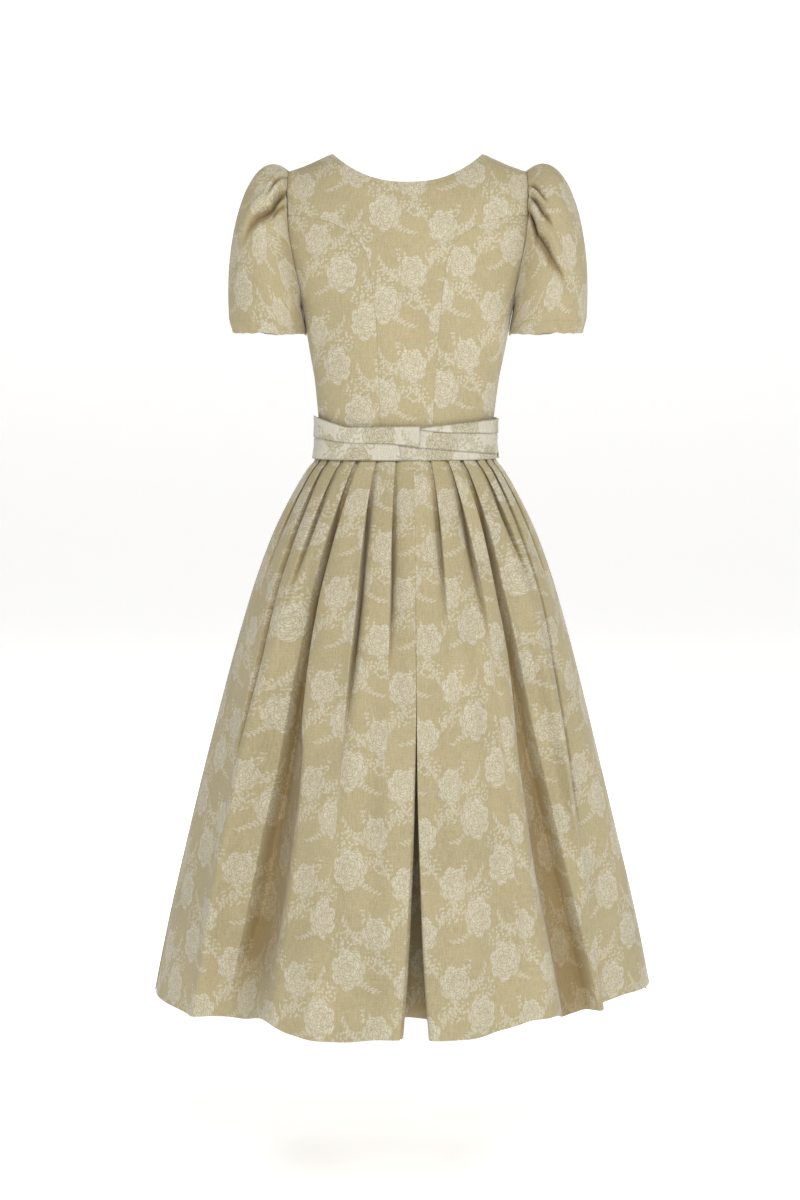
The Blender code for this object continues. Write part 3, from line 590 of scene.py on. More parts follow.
class Unroller:
    """Cloth coordinates of the bodice: distances measured on its surface, along the angle and along z."""

    columns = 90
    rows = 260
    below_waist = 0.005
    above_origin = 0.002
    last_cell = 1.001  # taken off a count, so that a place at the far edge is read in the last cell

    def __init__(self, side: Side) -> None:
        """Measure one side of the bodice.

        Args:
            side: Back or front.
        """
        self.angles = np.linspace(0.0, math.pi / 2, self.columns)
        self.heights = np.linspace(FIGURE.waist_z - self.below_waist, self.above_origin, self.rows)
        grid_z, grid_a = np.meshgrid(self.heights, self.angles, indexing="ij")
        points = FIGURE.torso(grid_a, grid_z, Hand.RIGHT, side)
        self.across = walked(points, axis=1)
        self.up = walked(points, axis=0)

    def read(self, angle: Array, z: Array) -> tuple[Array, Array]:
        """Find where places of the bodice lie on the cloth.

        Args:
            angle: Their angles from the centre line, in radians.
            z: Their heights.

        Returns:
            How far across and how far up the cloth they are.
        """
        row_height = self.heights[1] - self.heights[0]
        i = np.clip((z - self.heights[0]) / row_height, 0, self.rows - self.last_cell)
        j = np.clip(angle / (self.angles[1] - self.angles[0]), 0, self.columns - self.last_cell)
        i0, j0 = i.astype(int), j.astype(int)
        fi, fj = i - i0, j - j0

        def between(table: Array) -> Array:
            """Read a table between its four nearest entries."""
            low = mix(table[i0, j0], table[i0, j0 + 1], fj)
            high = mix(table[i0 + 1, j0], table[i0 + 1, j0 + 1], fj)
            return mix(low, high, fi)

        return between(self.across), between(self.up)


@dataclass(frozen=True)
class Phase:
    """Where a cut piece lay on the patterned cloth: an offset and a small turn."""

    u: float
    v: float
    turn: float = 0.0

    def lay(self, u: Array, v: Array) -> Array:
        """Return the pattern coordinates of places on the piece."""
        c, s = math.cos(math.radians(self.turn)), math.sin(math.radians(self.turn))
        return np.stack([c * u - s * v + self.u, s * u + c * v + self.v], axis=-1)


@dataclass
class Bodice:
    """The fitted bodice: a centre back, two side backs and two fronts."""

    refine: int = 8
    neck_steps: int = 40
    shoulder_steps: int = 18
    side_steps: int = 46
    low_rows: int = 5
    armhole_rows: int = 7
    corner_rows: int = 5
    fine_steps: int = 240
    neck_stitch: float = 0.006
    dart_x: tuple[float, float] = (0.062, 0.078)
    dart_top_z: float = -0.285
    dart_end: float = 10.0
    seam_dip: float = 0.0009
    seam_reach: float = 0.0045
    phase: dict[str, Phase] = field(
        default_factory=lambda: {
            "back_centre": Phase(0.012, 0.020),
            "back_side_left": Phase(0.051, 0.047, 4.0),
            "back_side_right": Phase(0.083, 0.011, -4.0),
            "front_left": Phase(0.031, 0.066),
            "front_right": Phase(0.070, 0.104),
        }
    )

    def _creased(self, angle: Array, z: Array, hand: Hand) -> Array:
        """Return how far soft creases of the worn back sink in."""
        x = hand.value * column(BODICE, "half_width", z) * np.sin(angle)
        return sum(crease.sink(x, z) for crease in BACK_CREASES)

    def _surface(self, angle: Array, z: Array, hand: Hand, side: Side) -> Array:
        """Place a grid of the bodice, with the creases of its back.

        Args:
            angle: The points' angles from the centre line, in radians.
            z: Their heights.
            hand: Which side of the wearer.
            side: Back or front.

        Returns:
            The grid.
        """
        points = FIGURE.torso(angle, z, hand, side)
        if side is Side.BACK:
            inward = -np.stack([hand.value * np.sin(angle), -np.cos(angle), 0 * angle], axis=-1)
            points = points + inward * self._creased(angle, z, hand)[..., None]
        return points

    def _seamed(self, grid: Array, sides: Sequence[str]) -> Array:
        """Let the cloth dip softly to its seams, as sewn cloth does.

        Args:
            grid: The cloth's points.
            sides: The edges with seams: "first", "last" or both.

        Returns:
            The grid with its dips.
        """
        result = grid.copy()
        for edge in sides:
            away = walked(grid, axis=1)
            away = away if edge == "first" else away[:, -1:] - away
            dip = self.seam_dip * np.exp(-((away / self.seam_reach) ** 2))
            inward = -from_axis(grid.reshape(-1, 3)).reshape(grid.shape)
            inward /= np.maximum(np.linalg.norm(inward, axis=-1, keepdims=True), 1e-9)
            result = result + inward * dip[..., None]
        return result

    def back_centre(self) -> Cloth:
        """Build the back between the curved seams, widening above them to both armholes.

        Returns:
            The cut piece.
        """
        top_x, top_z = FIGURE.top_edge(Side.BACK, self.neck_steps, self.shoulder_steps)
        top_angle = FIGURE.angle_at(top_x, top_z)
        shares = top_angle / top_angle[-1]
        seam = refined(np.array([[p.x, p.z, p.centre_z] for p in BACK_SEAM]), self.refine)
        outer = FIGURE.angle_at(seam[:, 0], seam[:, 1])
        corner = float(FIGURE.share_at(BACK_SEAM[-1].z))
        corner_angle, corner_z = FIGURE.armhole(corner, Side.BACK)
        outer[-1] = corner_angle
        angles = outer[:, None] * shares
        heights = seam[:, 2:3] + (seam[:, 1:2] - seam[:, 2:3]) * shares
        above = np.linspace(corner, 0.0, self.corner_rows * self.refine + 1)[1:]
        edge_angle, edge_z = FIGURE.armhole(above, Side.BACK)
        risen = (edge_z - corner_z) / (top_z[-1] - corner_z)
        angles = np.concatenate([angles, edge_angle[:, None] * shares])
        heights = np.concatenate([heights, heights[-1] + (top_z - heights[-1]) * risen[:, None]])
        halves = [self._surface(angles, heights, hand, Side.BACK) for hand in Hand]
        u, v = Unroller(Side.BACK).read(angles, heights)
        points = np.concatenate([halves[0][:, :0:-1], halves[1]], axis=1)
        points = self._seamed(points, ("first", "last"))
        u, v = np.concatenate([-u[:, :0:-1], u], axis=1), np.concatenate([v[:, :0:-1], v], axis=1)
        uv = self.phase["back_centre"].lay(u, v)
        marks = {"seam": to_ends(points, 1), "stitch": self._to_neck(points, Side.BACK)}
        return Cloth("back_centre", points, uv, flat=(0.37, 0.43), area=0.064, held=Held.HUNG,
                     outward=from_axis, rests_on=("cloth_back_side_left", "cloth_back_side_right"),
                     marks=marks)

    def _to_neck(self, points: Array, side: Side) -> Array:
        """Measure how far points are from the stitches along the neck's edge.

        Args:
            points: The grid of points.
            side: Back or front.

        Returns:
            Their distances, negative between the stitches and the edge.
        """
        x, z = points[..., 0] - FIGURE.centre_x(points[..., 2]), points[..., 2]
        fine = np.linspace(-FIGURE.neck_half_width, FIGURE.neck_half_width, 4 * self.neck_steps + 1)
        edge = np.stack([fine, FIGURE.neckline(fine, side)], axis=-1)
        away = np.hypot(x[..., None] - edge[:, 0], z[..., None] - edge[:, 1]).min(axis=-1)
        return away - self.neck_stitch

    def back_side(self, hand: Hand) -> Cloth:
        """Build a side panel of the back, from the curved seam to the side seam and the armhole.

        Args:
            hand: Which side of the wearer.

        Returns:
            The cut piece.
        """
        seam = refined(np.array([[p.x, p.z, p.side_z] for p in BACK_SEAM]), self.refine)
        inner = FIGURE.angle_at(seam[:, 0], seam[:, 1])
        below = seam[:, 2] <= FIGURE.underarm_z
        edge_angle, edge_z = FIGURE.armhole(FIGURE.share_at(seam[:, 2]), Side.BACK)
        outer = np.where(below, math.pi / 2, edge_angle)
        outer_z = np.where(below, seam[:, 2], edge_z)
        share = np.linspace(0, 1, self.side_steps + 1)
        angles = inner[:, None] + (outer - inner)[:, None] * share
        heights = seam[:, 1:2] + (outer_z - seam[:, 1])[:, None] * share
        points = self._seamed(self._surface(angles, heights, hand, Side.BACK), ("first",))
        u, v = Unroller(Side.BACK).read(angles, heights)
        node = "back_side_" + hand.name.lower()
        uv = self.phase[node].lay(hand.value * u, v)
        return Cloth(node, points, uv, flat=(0.16, 0.34), area=0.045, held=Held.HUNG, outward=from_axis,
                     rests_on=("cloth_back_centre",), marks={"seam": to_ends(points, 1)})

    def _front_top(self) -> tuple[Array, Array]:
        """Follow the front's top edge, with even steps along its neckline.

        Returns:
            The points' x and z.
        """
        fine = FIGURE.top_edge(Side.FRONT, self.fine_steps, self.shoulder_steps)
        neck_x, neck_z = (row[: self.fine_steps + 1] for row in fine)
        far = walked(FIGURE.torso(FIGURE.angle_at(neck_x, neck_z), neck_z, Hand.RIGHT, Side.FRONT), axis=0)
        wanted = np.linspace(0, far[-1], self.neck_steps + 1)
        even = [np.interp(wanted, far, row) for row in (neck_x, neck_z)]
        return tuple(np.concatenate([near, row[self.fine_steps + 1 :]]) for near, row in zip(even, fine))

    def front(self, hand: Hand) -> Cloth:
        """Build one half of the front, from the centre to the side seam and the armhole.

        Args:
            hand: Which side of the wearer.

        Returns:
            The cut piece.
        """
        top_x, top_z = self._front_top()
        top_angle = FIGURE.angle_at(top_x, top_z)
        top_shares = top_angle / top_angle[-1]
        low_shares = np.linspace(0, 1, len(top_shares))
        levels = np.linspace(FIGURE.waist_z, FIGURE.underarm_z, self.low_rows * self.refine + 1)
        angles = [low_shares * math.pi / 2 for _ in levels]
        heights = [np.full(len(low_shares), z) for z in levels]
        for share in np.linspace(1.0, 0.0, self.armhole_rows * self.refine + 1)[1:]:
            edge_angle, edge_z = FIGURE.armhole(share, Side.FRONT)
            risen = (float(edge_z) - FIGURE.underarm_z) / (top_z[-1] - FIGURE.underarm_z)
            angles.append(mix(low_shares, top_shares, risen) * float(edge_angle))
            heights.append(mix(FIGURE.underarm_z, top_z, risen))
        angle_grid, height_grid = np.array(angles), np.array(heights)
        points = self._seamed(self._surface(angle_grid, height_grid, hand, Side.FRONT), ("first",))
        u, v = Unroller(Side.FRONT).read(angle_grid, height_grid)
        node = "front_" + hand.name.lower()
        uv = self.phase[node].lay(-hand.value * u, v)
        x, z = np.abs(points[..., 0]), points[..., 2]
        risen = (z - FIGURE.waist_z) / (self.dart_top_z - FIGURE.waist_z)
        dart = x - mix(*self.dart_x, risen) + self.dart_end * np.clip(risen - 1, 0.0, None)
        marks = {"seam": nearest(to_ends(points, 1), dart), "stitch": self._to_neck(points, Side.FRONT)}
        return Cloth(node, points, uv, flat=(0.23, 0.44), area=0.067, held=Held.HUNG, outward=from_axis,
                     rests_on=("cloth_back_side_" + hand.name.lower(),), marks=marks)

    def pieces(self) -> list[Cloth]:
        """Return every piece of the bodice."""
        sides = [self.back_side(hand) for hand in Hand]
        return [self.back_centre(), *sides, *[self.front(hand) for hand in Hand]]


@dataclass(frozen=True)
class Crease:
    """A soft trough in worn cloth: a line between two places, its half width and its depth."""

    x0: float
    z0: float
    x1: float
    z1: float
    half_width: float
    depth: float

    def sink(self, x: Array, z: Array) -> Array:
        """Measure how far the trough sinks.

        Args:
            x: The places' x.
            z: Their heights.

        Returns:
            How far the cloth sinks at each.
        """
        along = np.array([self.x1 - self.x0, self.z1 - self.z0])
        length = float(np.hypot(*along))
        along /= length
        t = ((x - self.x0) * along[0] + (z - self.z0) * along[1]) / length
        off = (x - self.x0) * along[1] - (z - self.z0) * along[0]
        ends = np.clip(1 - (2 * t - 1) ** 2, 0.0, 1.0)
        return self.depth * ends * np.exp(-((off / self.half_width) ** 2))


BACK_CREASES: list[Crease] = [
    Crease(-0.150, -0.205, -0.060, -0.150, 0.010, 0.0016),
    Crease(0.150, -0.210, 0.066, -0.160, 0.010, 0.0014),
    Crease(-0.120, -0.330, -0.030, -0.318, 0.009, 0.0013),
    Crease(0.118, -0.345, 0.020, -0.336, 0.008, 0.0012),
    Crease(-0.070, -0.362, 0.045, -0.356, 0.007, 0.0008),
    Crease(-0.128, -0.255, -0.085, -0.300, 0.009, 0.0013),
    Crease(0.128, -0.262, 0.082, -0.300, 0.009, 0.0012),
]


# ---------------------------------------------------------------- sleeves
@dataclass(frozen=True)
class CapFold:
    """A pleat at the head of a sleeve: its angles round the sleeve on its way down, its depth and length.

    Attributes:
        turns: Degrees from the shoulder, negative towards the front, at each of FOLD_PLACES.
        depth: How deep it is.
        length: The share of the sleeve's length over which it fades.
        width: Degrees that its open side spans.
    """

    turns: tuple[float, float, float, float]
    depth: float
    length: float
    width: float = 12.0


@dataclass(frozen=True)
class Bow:
    """How far a sleeve's lengthwise curve bows: underarm, and what it gains towards the shoulder."""

    under: float
    gain: float
    power: float

    def at(self, high: float) -> float:
        """Return the bow, where high runs from 0 underarm to 1 at the shoulder."""
        return self.under + self.gain * high**self.power


FOLD_PLACES = (0.0, 0.2, 0.5, 0.8)  # shares of the way from the armhole to the hem
HEM_WAVES = (Wave(0.0009, 5, 0.8), Wave(0.0006, 9))
GATHERS = (Wave(0.0006, 17, 0.6), Wave(0.00042, 11, 2.1))
SLEEVE_PHASES = {Hand.LEFT: Phase(0.035, 0.118), Hand.RIGHT: Phase(0.092, 0.050)}
CAP_FOLDS: dict[Hand, list[CapFold]] = {
    Hand.LEFT: [
        CapFold((24.0, 50.0, 60.0, 60.0), 0.0110, 0.24, 9.0),
        CapFold((45.0, 62.0, 47.0, 36.0), 0.0225, 0.58, 14.0),
        CapFold((61.0, 71.0, 76.0, 76.0), 0.0070, 0.24, 8.0),
        CapFold((-26.0, -40.0, -50.0, -50.0), 0.0050, 0.30),
        CapFold((-48.0, -60.0, -48.0, -40.0), 0.0130, 0.80, 16.0),
        CapFold((-74.0, -78.0, -80.0, -80.0), 0.0045, 0.30),
    ],
    Hand.RIGHT: [
        CapFold((37.0, 57.0, 62.0, 62.0), 0.0085, 0.24, 9.0),
        CapFold((50.0, 67.0, 70.0, 70.0), 0.0130, 0.38, 10.0),
        CapFold((67.0, 86.0, 80.0, 60.0), 0.0205, 0.80, 13.0),
        CapFold((-24.0, -38.0, -46.0, -46.0), 0.0045, 0.30),
        CapFold((-46.0, -58.0, -50.0, -42.0), 0.0130, 0.80, 16.0),
        CapFold((-72.0, -78.0, -80.0, -80.0), 0.0050, 0.30),
    ],
}


@dataclass
class Sleeves:
    """Two short puffed sleeves, pleated at the head."""

    hem_z: float = -0.2555
    hem_x: dict[Hand, float] = field(default_factory=lambda: {Hand.LEFT: 0.1965, Hand.RIGHT: 0.1975})
    hem_half_width: float = 0.0532
    hem_half_depth: float = 0.060
    aside: float = -0.0018
    proud: float = 0.0010
    middle_z: float = -0.12
    lean: float = 0.05
    lean_top: float = 0.25
    steepness: float = 5.5
    ridge: float = 0.30
    hem_tuck: float = 0.0034
    hem_tuck_share: float = 0.06
    hem_stitch: float = 0.018
    # How deep a pleat sinks before its painted shade is full.
    full_shade_depth: float = 0.0058
    fold_levelness: float = 0.5
    fold_held: float = 0.45
    fold_begins: float = -0.02
    fold_deepens: float = 0.07
    fold_ends: float = 0.05
    ridge_away: float = 0.55
    ridge_width: float = 0.45
    gather_reach: float = 0.10
    ring_step: float = 0.05
    row_power: float = 1.05
    level_row: float = 0.55
    followed: float = 0.7
    cloth_middle: tuple[float, float, float] = (0.19, 0.0, -0.19)
    cloth_levelness: float = 0.3
    turn_out: float = 0.0185
    turn_back: float = 0.012
    depth: Bow = Bow(0.0153, 0.0187, 0.5)
    out: Bow = Bow(0.002, 0.056, 0.9)
    up: Bow = Bow(0.004, 0.047, 2.0)
    turn_up: dict[Hand, Bow] = field(
        default_factory=lambda: {Hand.LEFT: Bow(0.012, 0.1035, 1.3), Hand.RIGHT: Bow(0.012, 0.1205, 1.3)}
    )
    columns: int = 240
    rows: int = 90

    def _ring(self, turn: float, hand: Hand) -> Array:
        """Find a point of the armhole.

        Args:
            turn: Radians from the shoulder, a quarter turn at the back and a half turn underarm.
            hand: Which side of the wearer.

        Returns:
            The point.
        """
        side = Side.BACK if math.sin(turn) >= 0 else Side.FRONT
        share = turn / math.pi if side is Side.BACK else 2 - turn / math.pi
        angle, z = FIGURE.armhole(share, side)
        return FIGURE.torso(angle, z, hand, side)

    def _start(self, turn: float, hand: Hand) -> Array:
        """Find where the sleeve begins, just off the armhole's edge.

        Args:
            turn: Radians from the shoulder, as for _ring.
            hand: Which side of the wearer.

        Returns:
            The point.
        """
        here = self._ring(turn, hand)
        steps = self.ring_step, -self.ring_step
        ahead, behind = (self._ring((turn + step) % math.tau, hand) for step in steps)
        along = ahead - behind
        outward = np.array([here[0], here[1], self.lean + self.lean_top * max(math.cos(turn), 0.0)])
        across = np.cross(along, outward) * hand.value
        across /= np.linalg.norm(across)
        normal = np.cross(across, along) * -hand.value
        normal /= np.linalg.norm(normal)
        if np.dot(normal, outward) < 0:
            normal = -normal
        if np.dot(across, np.array([here[0], 0.0, self.middle_z]) - here) < 0:
            across = -across
        return here + self.aside * across + self.proud * normal

    def _lift(self, degrees: float, t: Array, hand: Hand) -> Array:
        """Measure how far the sleeve sinks into its pleats or puffs out between them.

        Args:
            degrees: How far round from the shoulder, negative at the front.
            t: The shares of the way down the sleeve.
            hand: Which side of the wearer.

        Returns:
            The distance outward at each share, negative in a pleat.
        """
        lift = np.zeros_like(t)
        for fold in CAP_FOLDS[hand]:
            sign = math.copysign(1.0, fold.turns[0])
            away = (degrees - smooth(t, FOLD_PLACES, fold.turns)) * sign
            wide = np.where(away > 0, fold.width, fold.width / self.steepness)
            trough = np.clip(1 - np.abs(away) / wide, 0.0, 1.0)
            trough = trough * trough * (2 - trough) ** 0.5
            held = self.fold_held * fold.length
            going = 1 - ease((t - held) / (fold.length + self.fold_ends - held))
            fading = ease((t - self.fold_begins) / self.fold_deepens) * going
            lift = lift - fold.depth * trough * fading
            ridge = np.exp(-(((away / fold.width + self.ridge_away) / self.ridge_width) ** 2))
            lift = lift + self.ridge * fold.depth * ridge * fading
        gathers = sum(wave.at(math.radians(degrees)) for wave in GATHERS)
        return lift + gathers * np.exp(-(((1 - t) / self.gather_reach) ** 2))

    def sleeve(self, hand: Hand) -> Cloth:
        """Build a sleeve: curves from the armhole, out over the puff and down to the hem.

        Args:
            hand: Which side of the wearer.

        Returns:
            The cut piece.
        """
        middle_x = (FIGURE.shoulder_half_width + self.hem_x[hand]) / 2
        middle = np.array([hand.value * middle_x, 0.0, self.middle_z])
        t = np.linspace(0, 1, self.rows) ** self.row_power
        lines = []
        lifts = []
        for degrees in np.linspace(-180, 180, self.columns + 1):
            turn = math.radians(degrees) % math.tau
            out, back = math.cos(turn), math.sin(turn)
            high = (1 + out) / 2
            wavy = sum(wave.at(turn) for wave in HEM_WAVES)
            hem = np.array([hand.value * (self.hem_x[hand] + self.hem_half_width * out),
                            -self.hem_half_depth * back, self.hem_z + wavy])
            leave = np.array([hand.value * self.out.at(high), -self.depth.at(high) * back, self.up.at(high)])
            arrive = np.array([hand.value * self.turn_out * max(out, 0.0), -self.turn_back * back,
                               self.turn_up[hand].at(high)])
            begin = self._start(turn, hand)
            w = t[:, None]
            point = (1 - w) ** 3 * begin + 3 * w * (1 - w) ** 2 * (begin + leave)
            point = point + 3 * w * w * (1 - w) * (hem + arrive) + w**3 * hem
            outward = point - middle
            outward[:, 2] *= self.fold_levelness
            outward /= np.linalg.norm(outward, axis=1, keepdims=True)
            lifts.append(self._lift(degrees, t, hand))
            tucked = self.hem_tuck * ease(1 - (1 - t) / self.hem_tuck_share) * max(0.25 + 0.75 * out, 0.0)
            lines.append(point + (lifts[-1] - tucked)[:, None] * outward)
        points = np.array(lines).transpose(1, 0, 2)
        points[:, -1] = points[:, 0]
        round_it = walked(points, axis=1)
        round_it = round_it - round_it[:, self.columns // 2][:, None]
        level = round_it[int(self.rows * self.level_row)][None, :]
        below = walked(points, axis=0)
        down = below.mean(axis=1)
        u = mix(level, round_it, self.followed)
        v = mix(down[-1] - down[:, None], below[-1:] - below, self.followed)
        uv = SLEEVE_PHASES[hand].lay(-hand.value * u, v)
        node = "sleeve_" + hand.name.lower()

        def outward_of(places: Array) -> Array:
            """Return the direction away from the sleeve's own middle."""
            away = places - np.array(self.cloth_middle) * (hand.value, 1, 1)
            return away * (1, 1, self.cloth_levelness)

        # Painted shade: the sleeve is darkened where its pleats sink in, the more the deeper.
        hollow = np.clip(-np.array(lifts).T / self.full_shade_depth, 0.0, 1.0)
        hollow[:, -1] = hollow[:, 0]
        marks = {"hollow": hollow, "stitch": below[-1:] - below - self.hem_stitch, "seam": below}
        return Cloth(node, points, uv, flat=(0.46, 0.27), area=0.088, held=Held.GATHERED, outward=outward_of,
                     closed=True, rests_on=("cloth_back_centre",), weld=0.00005, marks=marks)

    def pieces(self) -> list[Cloth]:
        """Return both sleeves."""
        return [self.sleeve(hand) for hand in Hand]


# ---------------------------------------------------------------- skirt
@dataclass(frozen=True)
class Gap:
    """How wide a pleat stands open beside its edge, at one height."""

    z: float
    width: float


@dataclass(frozen=True)
class Pleat:
    """A knife pleat.

    Attributes:
        waist: Where its edge runs at the waist, across.
        hip: The same at the hips.
        hem: The same at the hem.
        fade_z: The height near which it fades.
        depth: Its depth.
        gaps: How wide it stands open, for a pleat that opens well.
    """

    waist: float
    hip: float
    hem: float
    fade_z: float
    depth: float
    gaps: tuple[Gap, ...] = ()


@dataclass(frozen=True)
class BoxFold:
    """One height of a centre inverted pleat: half its mouth, half its floor and its depth."""

    z: float
    mouth: float
    floor: float
    depth: float


@dataclass(frozen=True)
class Valley:
    """A broad hollow between two hanging folds, deepest at the hem."""

    top: float
    hem: float
    start_z: float
    mid_depth: float
    hem_depth: float
    left_width: float
    right_width: float


@dataclass(frozen=True)
class SkirtHalf:
    """The folds of the front or the back of the skirt.

    Attributes:
        left: The pleats from the left side seam to the centre.
        right: The pleats from the centre to the right side seam.
        box_across: The centre's place across, at the waist, the hips and the hem.
        valleys: The hollows that sink straight in.
        side_dips: The hollows near the sides, which sink square to the cloth.
    """

    left: list[Pleat]
    right: list[Pleat]
    box_across: tuple[float, float, float]
    valleys: list[Valley]
    side_dips: list[Valley]


LEFT_GAPS: tuple[Gap, ...] = (
    Gap(-0.4275, 0.0056), Gap(-0.540, 0.0090), Gap(-0.665, 0.0130), Gap(-0.727, 0.0180), Gap(-0.785, 0.0240),
    Gap(-0.825, 0.0320), Gap(-0.950, 0.0450), Gap(-1.186, 0.0600),
)
RIGHT_GAPS: tuple[Gap, ...] = (
    Gap(-0.4275, 0.0056), Gap(-0.540, 0.0090), Gap(-0.660, 0.0135), Gap(-0.732, 0.0175), Gap(-0.785, 0.0230),
    Gap(-0.853, 0.0340), Gap(-0.958, 0.0420), Gap(-1.036, 0.0490), Gap(-1.186, 0.0560),
)
SKIRT_HALVES: dict[Side, SkirtHalf] = {
    Side.BACK: SkirtHalf(
        [
            Pleat(-0.955, -0.955, -0.955, -0.62, 0.008),
            Pleat(-0.864, -0.860, -0.850, -0.83, 0.016),
            Pleat(-0.714, -0.755, -0.740, -0.62, 0.014),
            Pleat(-0.550, -0.605, -0.665, -1.16, 0.020, LEFT_GAPS),
            Pleat(-0.329, -0.305, -0.330, -0.78, 0.018),
            Pleat(-0.115, -0.092, -0.090, -0.70, 0.012),
        ],
        [
            Pleat(0.282, 0.268, 0.270, -0.64, 0.012),
            Pleat(0.470, 0.510, 0.500, -0.66, 0.016),
            Pleat(0.638, 0.650, 0.765, -1.50, 0.018, RIGHT_GAPS),
            Pleat(0.791, 0.850, 0.840, -0.60, 0.014),
            Pleat(0.897, 0.892, 0.900, -0.92, 0.018),
            Pleat(0.970, 0.965, 0.965, -0.62, 0.008),
        ],
        (0.080, 0.070, 0.058),
        [
            Valley(-0.610, -0.640, -0.50, 0.0180, 0.072, 0.090, 0.062),
            Valley(0.460, 0.420, -0.60, 0.0036, 0.020, 0.046, 0.095),
            Valley(0.670, 0.770, -0.52, 0.0180, 0.066, 0.085, 0.060),
        ],
        [
            Valley(-0.880, -0.900, -0.60, 0.0036, 0.024, 0.060, 0.045),
            Valley(0.880, 0.895, -0.60, 0.0048, 0.042, 0.045, 0.045),
        ],
    ),
    Side.FRONT: SkirtHalf(
        [
            Pleat(-0.955, -0.955, -0.955, -0.62, 0.008),
            Pleat(-0.870, -0.880, -0.870, -0.80, 0.015),
            Pleat(-0.730, -0.760, -0.760, -0.64, 0.014),
            Pleat(-0.560, -0.590, -0.610, -0.86, 0.019),
            Pleat(-0.370, -0.360, -0.370, -0.74, 0.017),
            Pleat(-0.180, -0.170, -0.170, -0.66, 0.012),
        ],
        [
            Pleat(0.180, 0.170, 0.165, -0.68, 0.012),
            Pleat(0.370, 0.370, 0.360, -0.76, 0.017),
            Pleat(0.560, 0.580, 0.590, -0.84, 0.018),
            Pleat(0.730, 0.770, 0.760, -0.62, 0.014),
            Pleat(0.870, 0.880, 0.880, -0.88, 0.016),
            Pleat(0.955, 0.955, 0.955, -0.62, 0.008),
        ],
        (0.0, 0.004, 0.010),
        [
            Valley(-0.580, -0.560, -0.50, 0.0180, 0.088, 0.075, 0.060),
            Valley(0.560, 0.590, -0.54, 0.0168, 0.092, 0.060, 0.080),
        ],
        [
            Valley(-0.880, -0.890, -0.60, 0.0036, 0.024, 0.060, 0.045),
            Valley(0.870, 0.880, -0.62, 0.0048, 0.028, 0.045, 0.060),
        ],
    ),
}
# How far the back's uneven hem is drawn up, at places across.
HEM_LIFTS: tuple[tuple[float, float], ...] = (
    (-0.70, 0.0), (-0.60, 0.004), (-0.51, 0.018), (-0.42, 0.006), (-0.25, 0.0), (-0.05, 0.006), (0.20, 0.004),
    (0.38, 0.009), (0.50, 0.018), (0.58, 0.018), (0.68, 0.002), (0.85, 0.004), (0.95, 0.014),
)
BOX_FOLDS: list[BoxFold] = [
    BoxFold(-0.4275, 0.0004, 0.0100, 0.0045),
    BoxFold(-0.5400, 0.0004, 0.0150, 0.0080),
    BoxFold(-0.6800, 0.0006, 0.0180, 0.0150),
    BoxFold(-0.7460, 0.0007, 0.0200, 0.0180),
    BoxFold(-0.8720, 0.0022, 0.0220, 0.0480),
    BoxFold(-1.0340, 0.0075, 0.0240, 0.0950),
    BoxFold(-1.1010, 0.0110, 0.0260, 0.1120),
    BoxFold(-1.1860, 0.0175, 0.0300, 0.1250),
]
RIPPLES = (Wave(0.0024, 23, 0.0, 3.1), Wave(0.00168, 41, 1.7, -5.3))
LEVEL_RIPPLES = (Wave(0.0016, 6, 0.0, 31), Wave(1.0, 13))
RIPPLE_SHIFTS = {Side.BACK: 0.0, Side.FRONT: 2.2}
SKIRT_PHASES = {Side.BACK: Phase(0.045, 0.030), Side.FRONT: Phase(0.011, 0.085)}


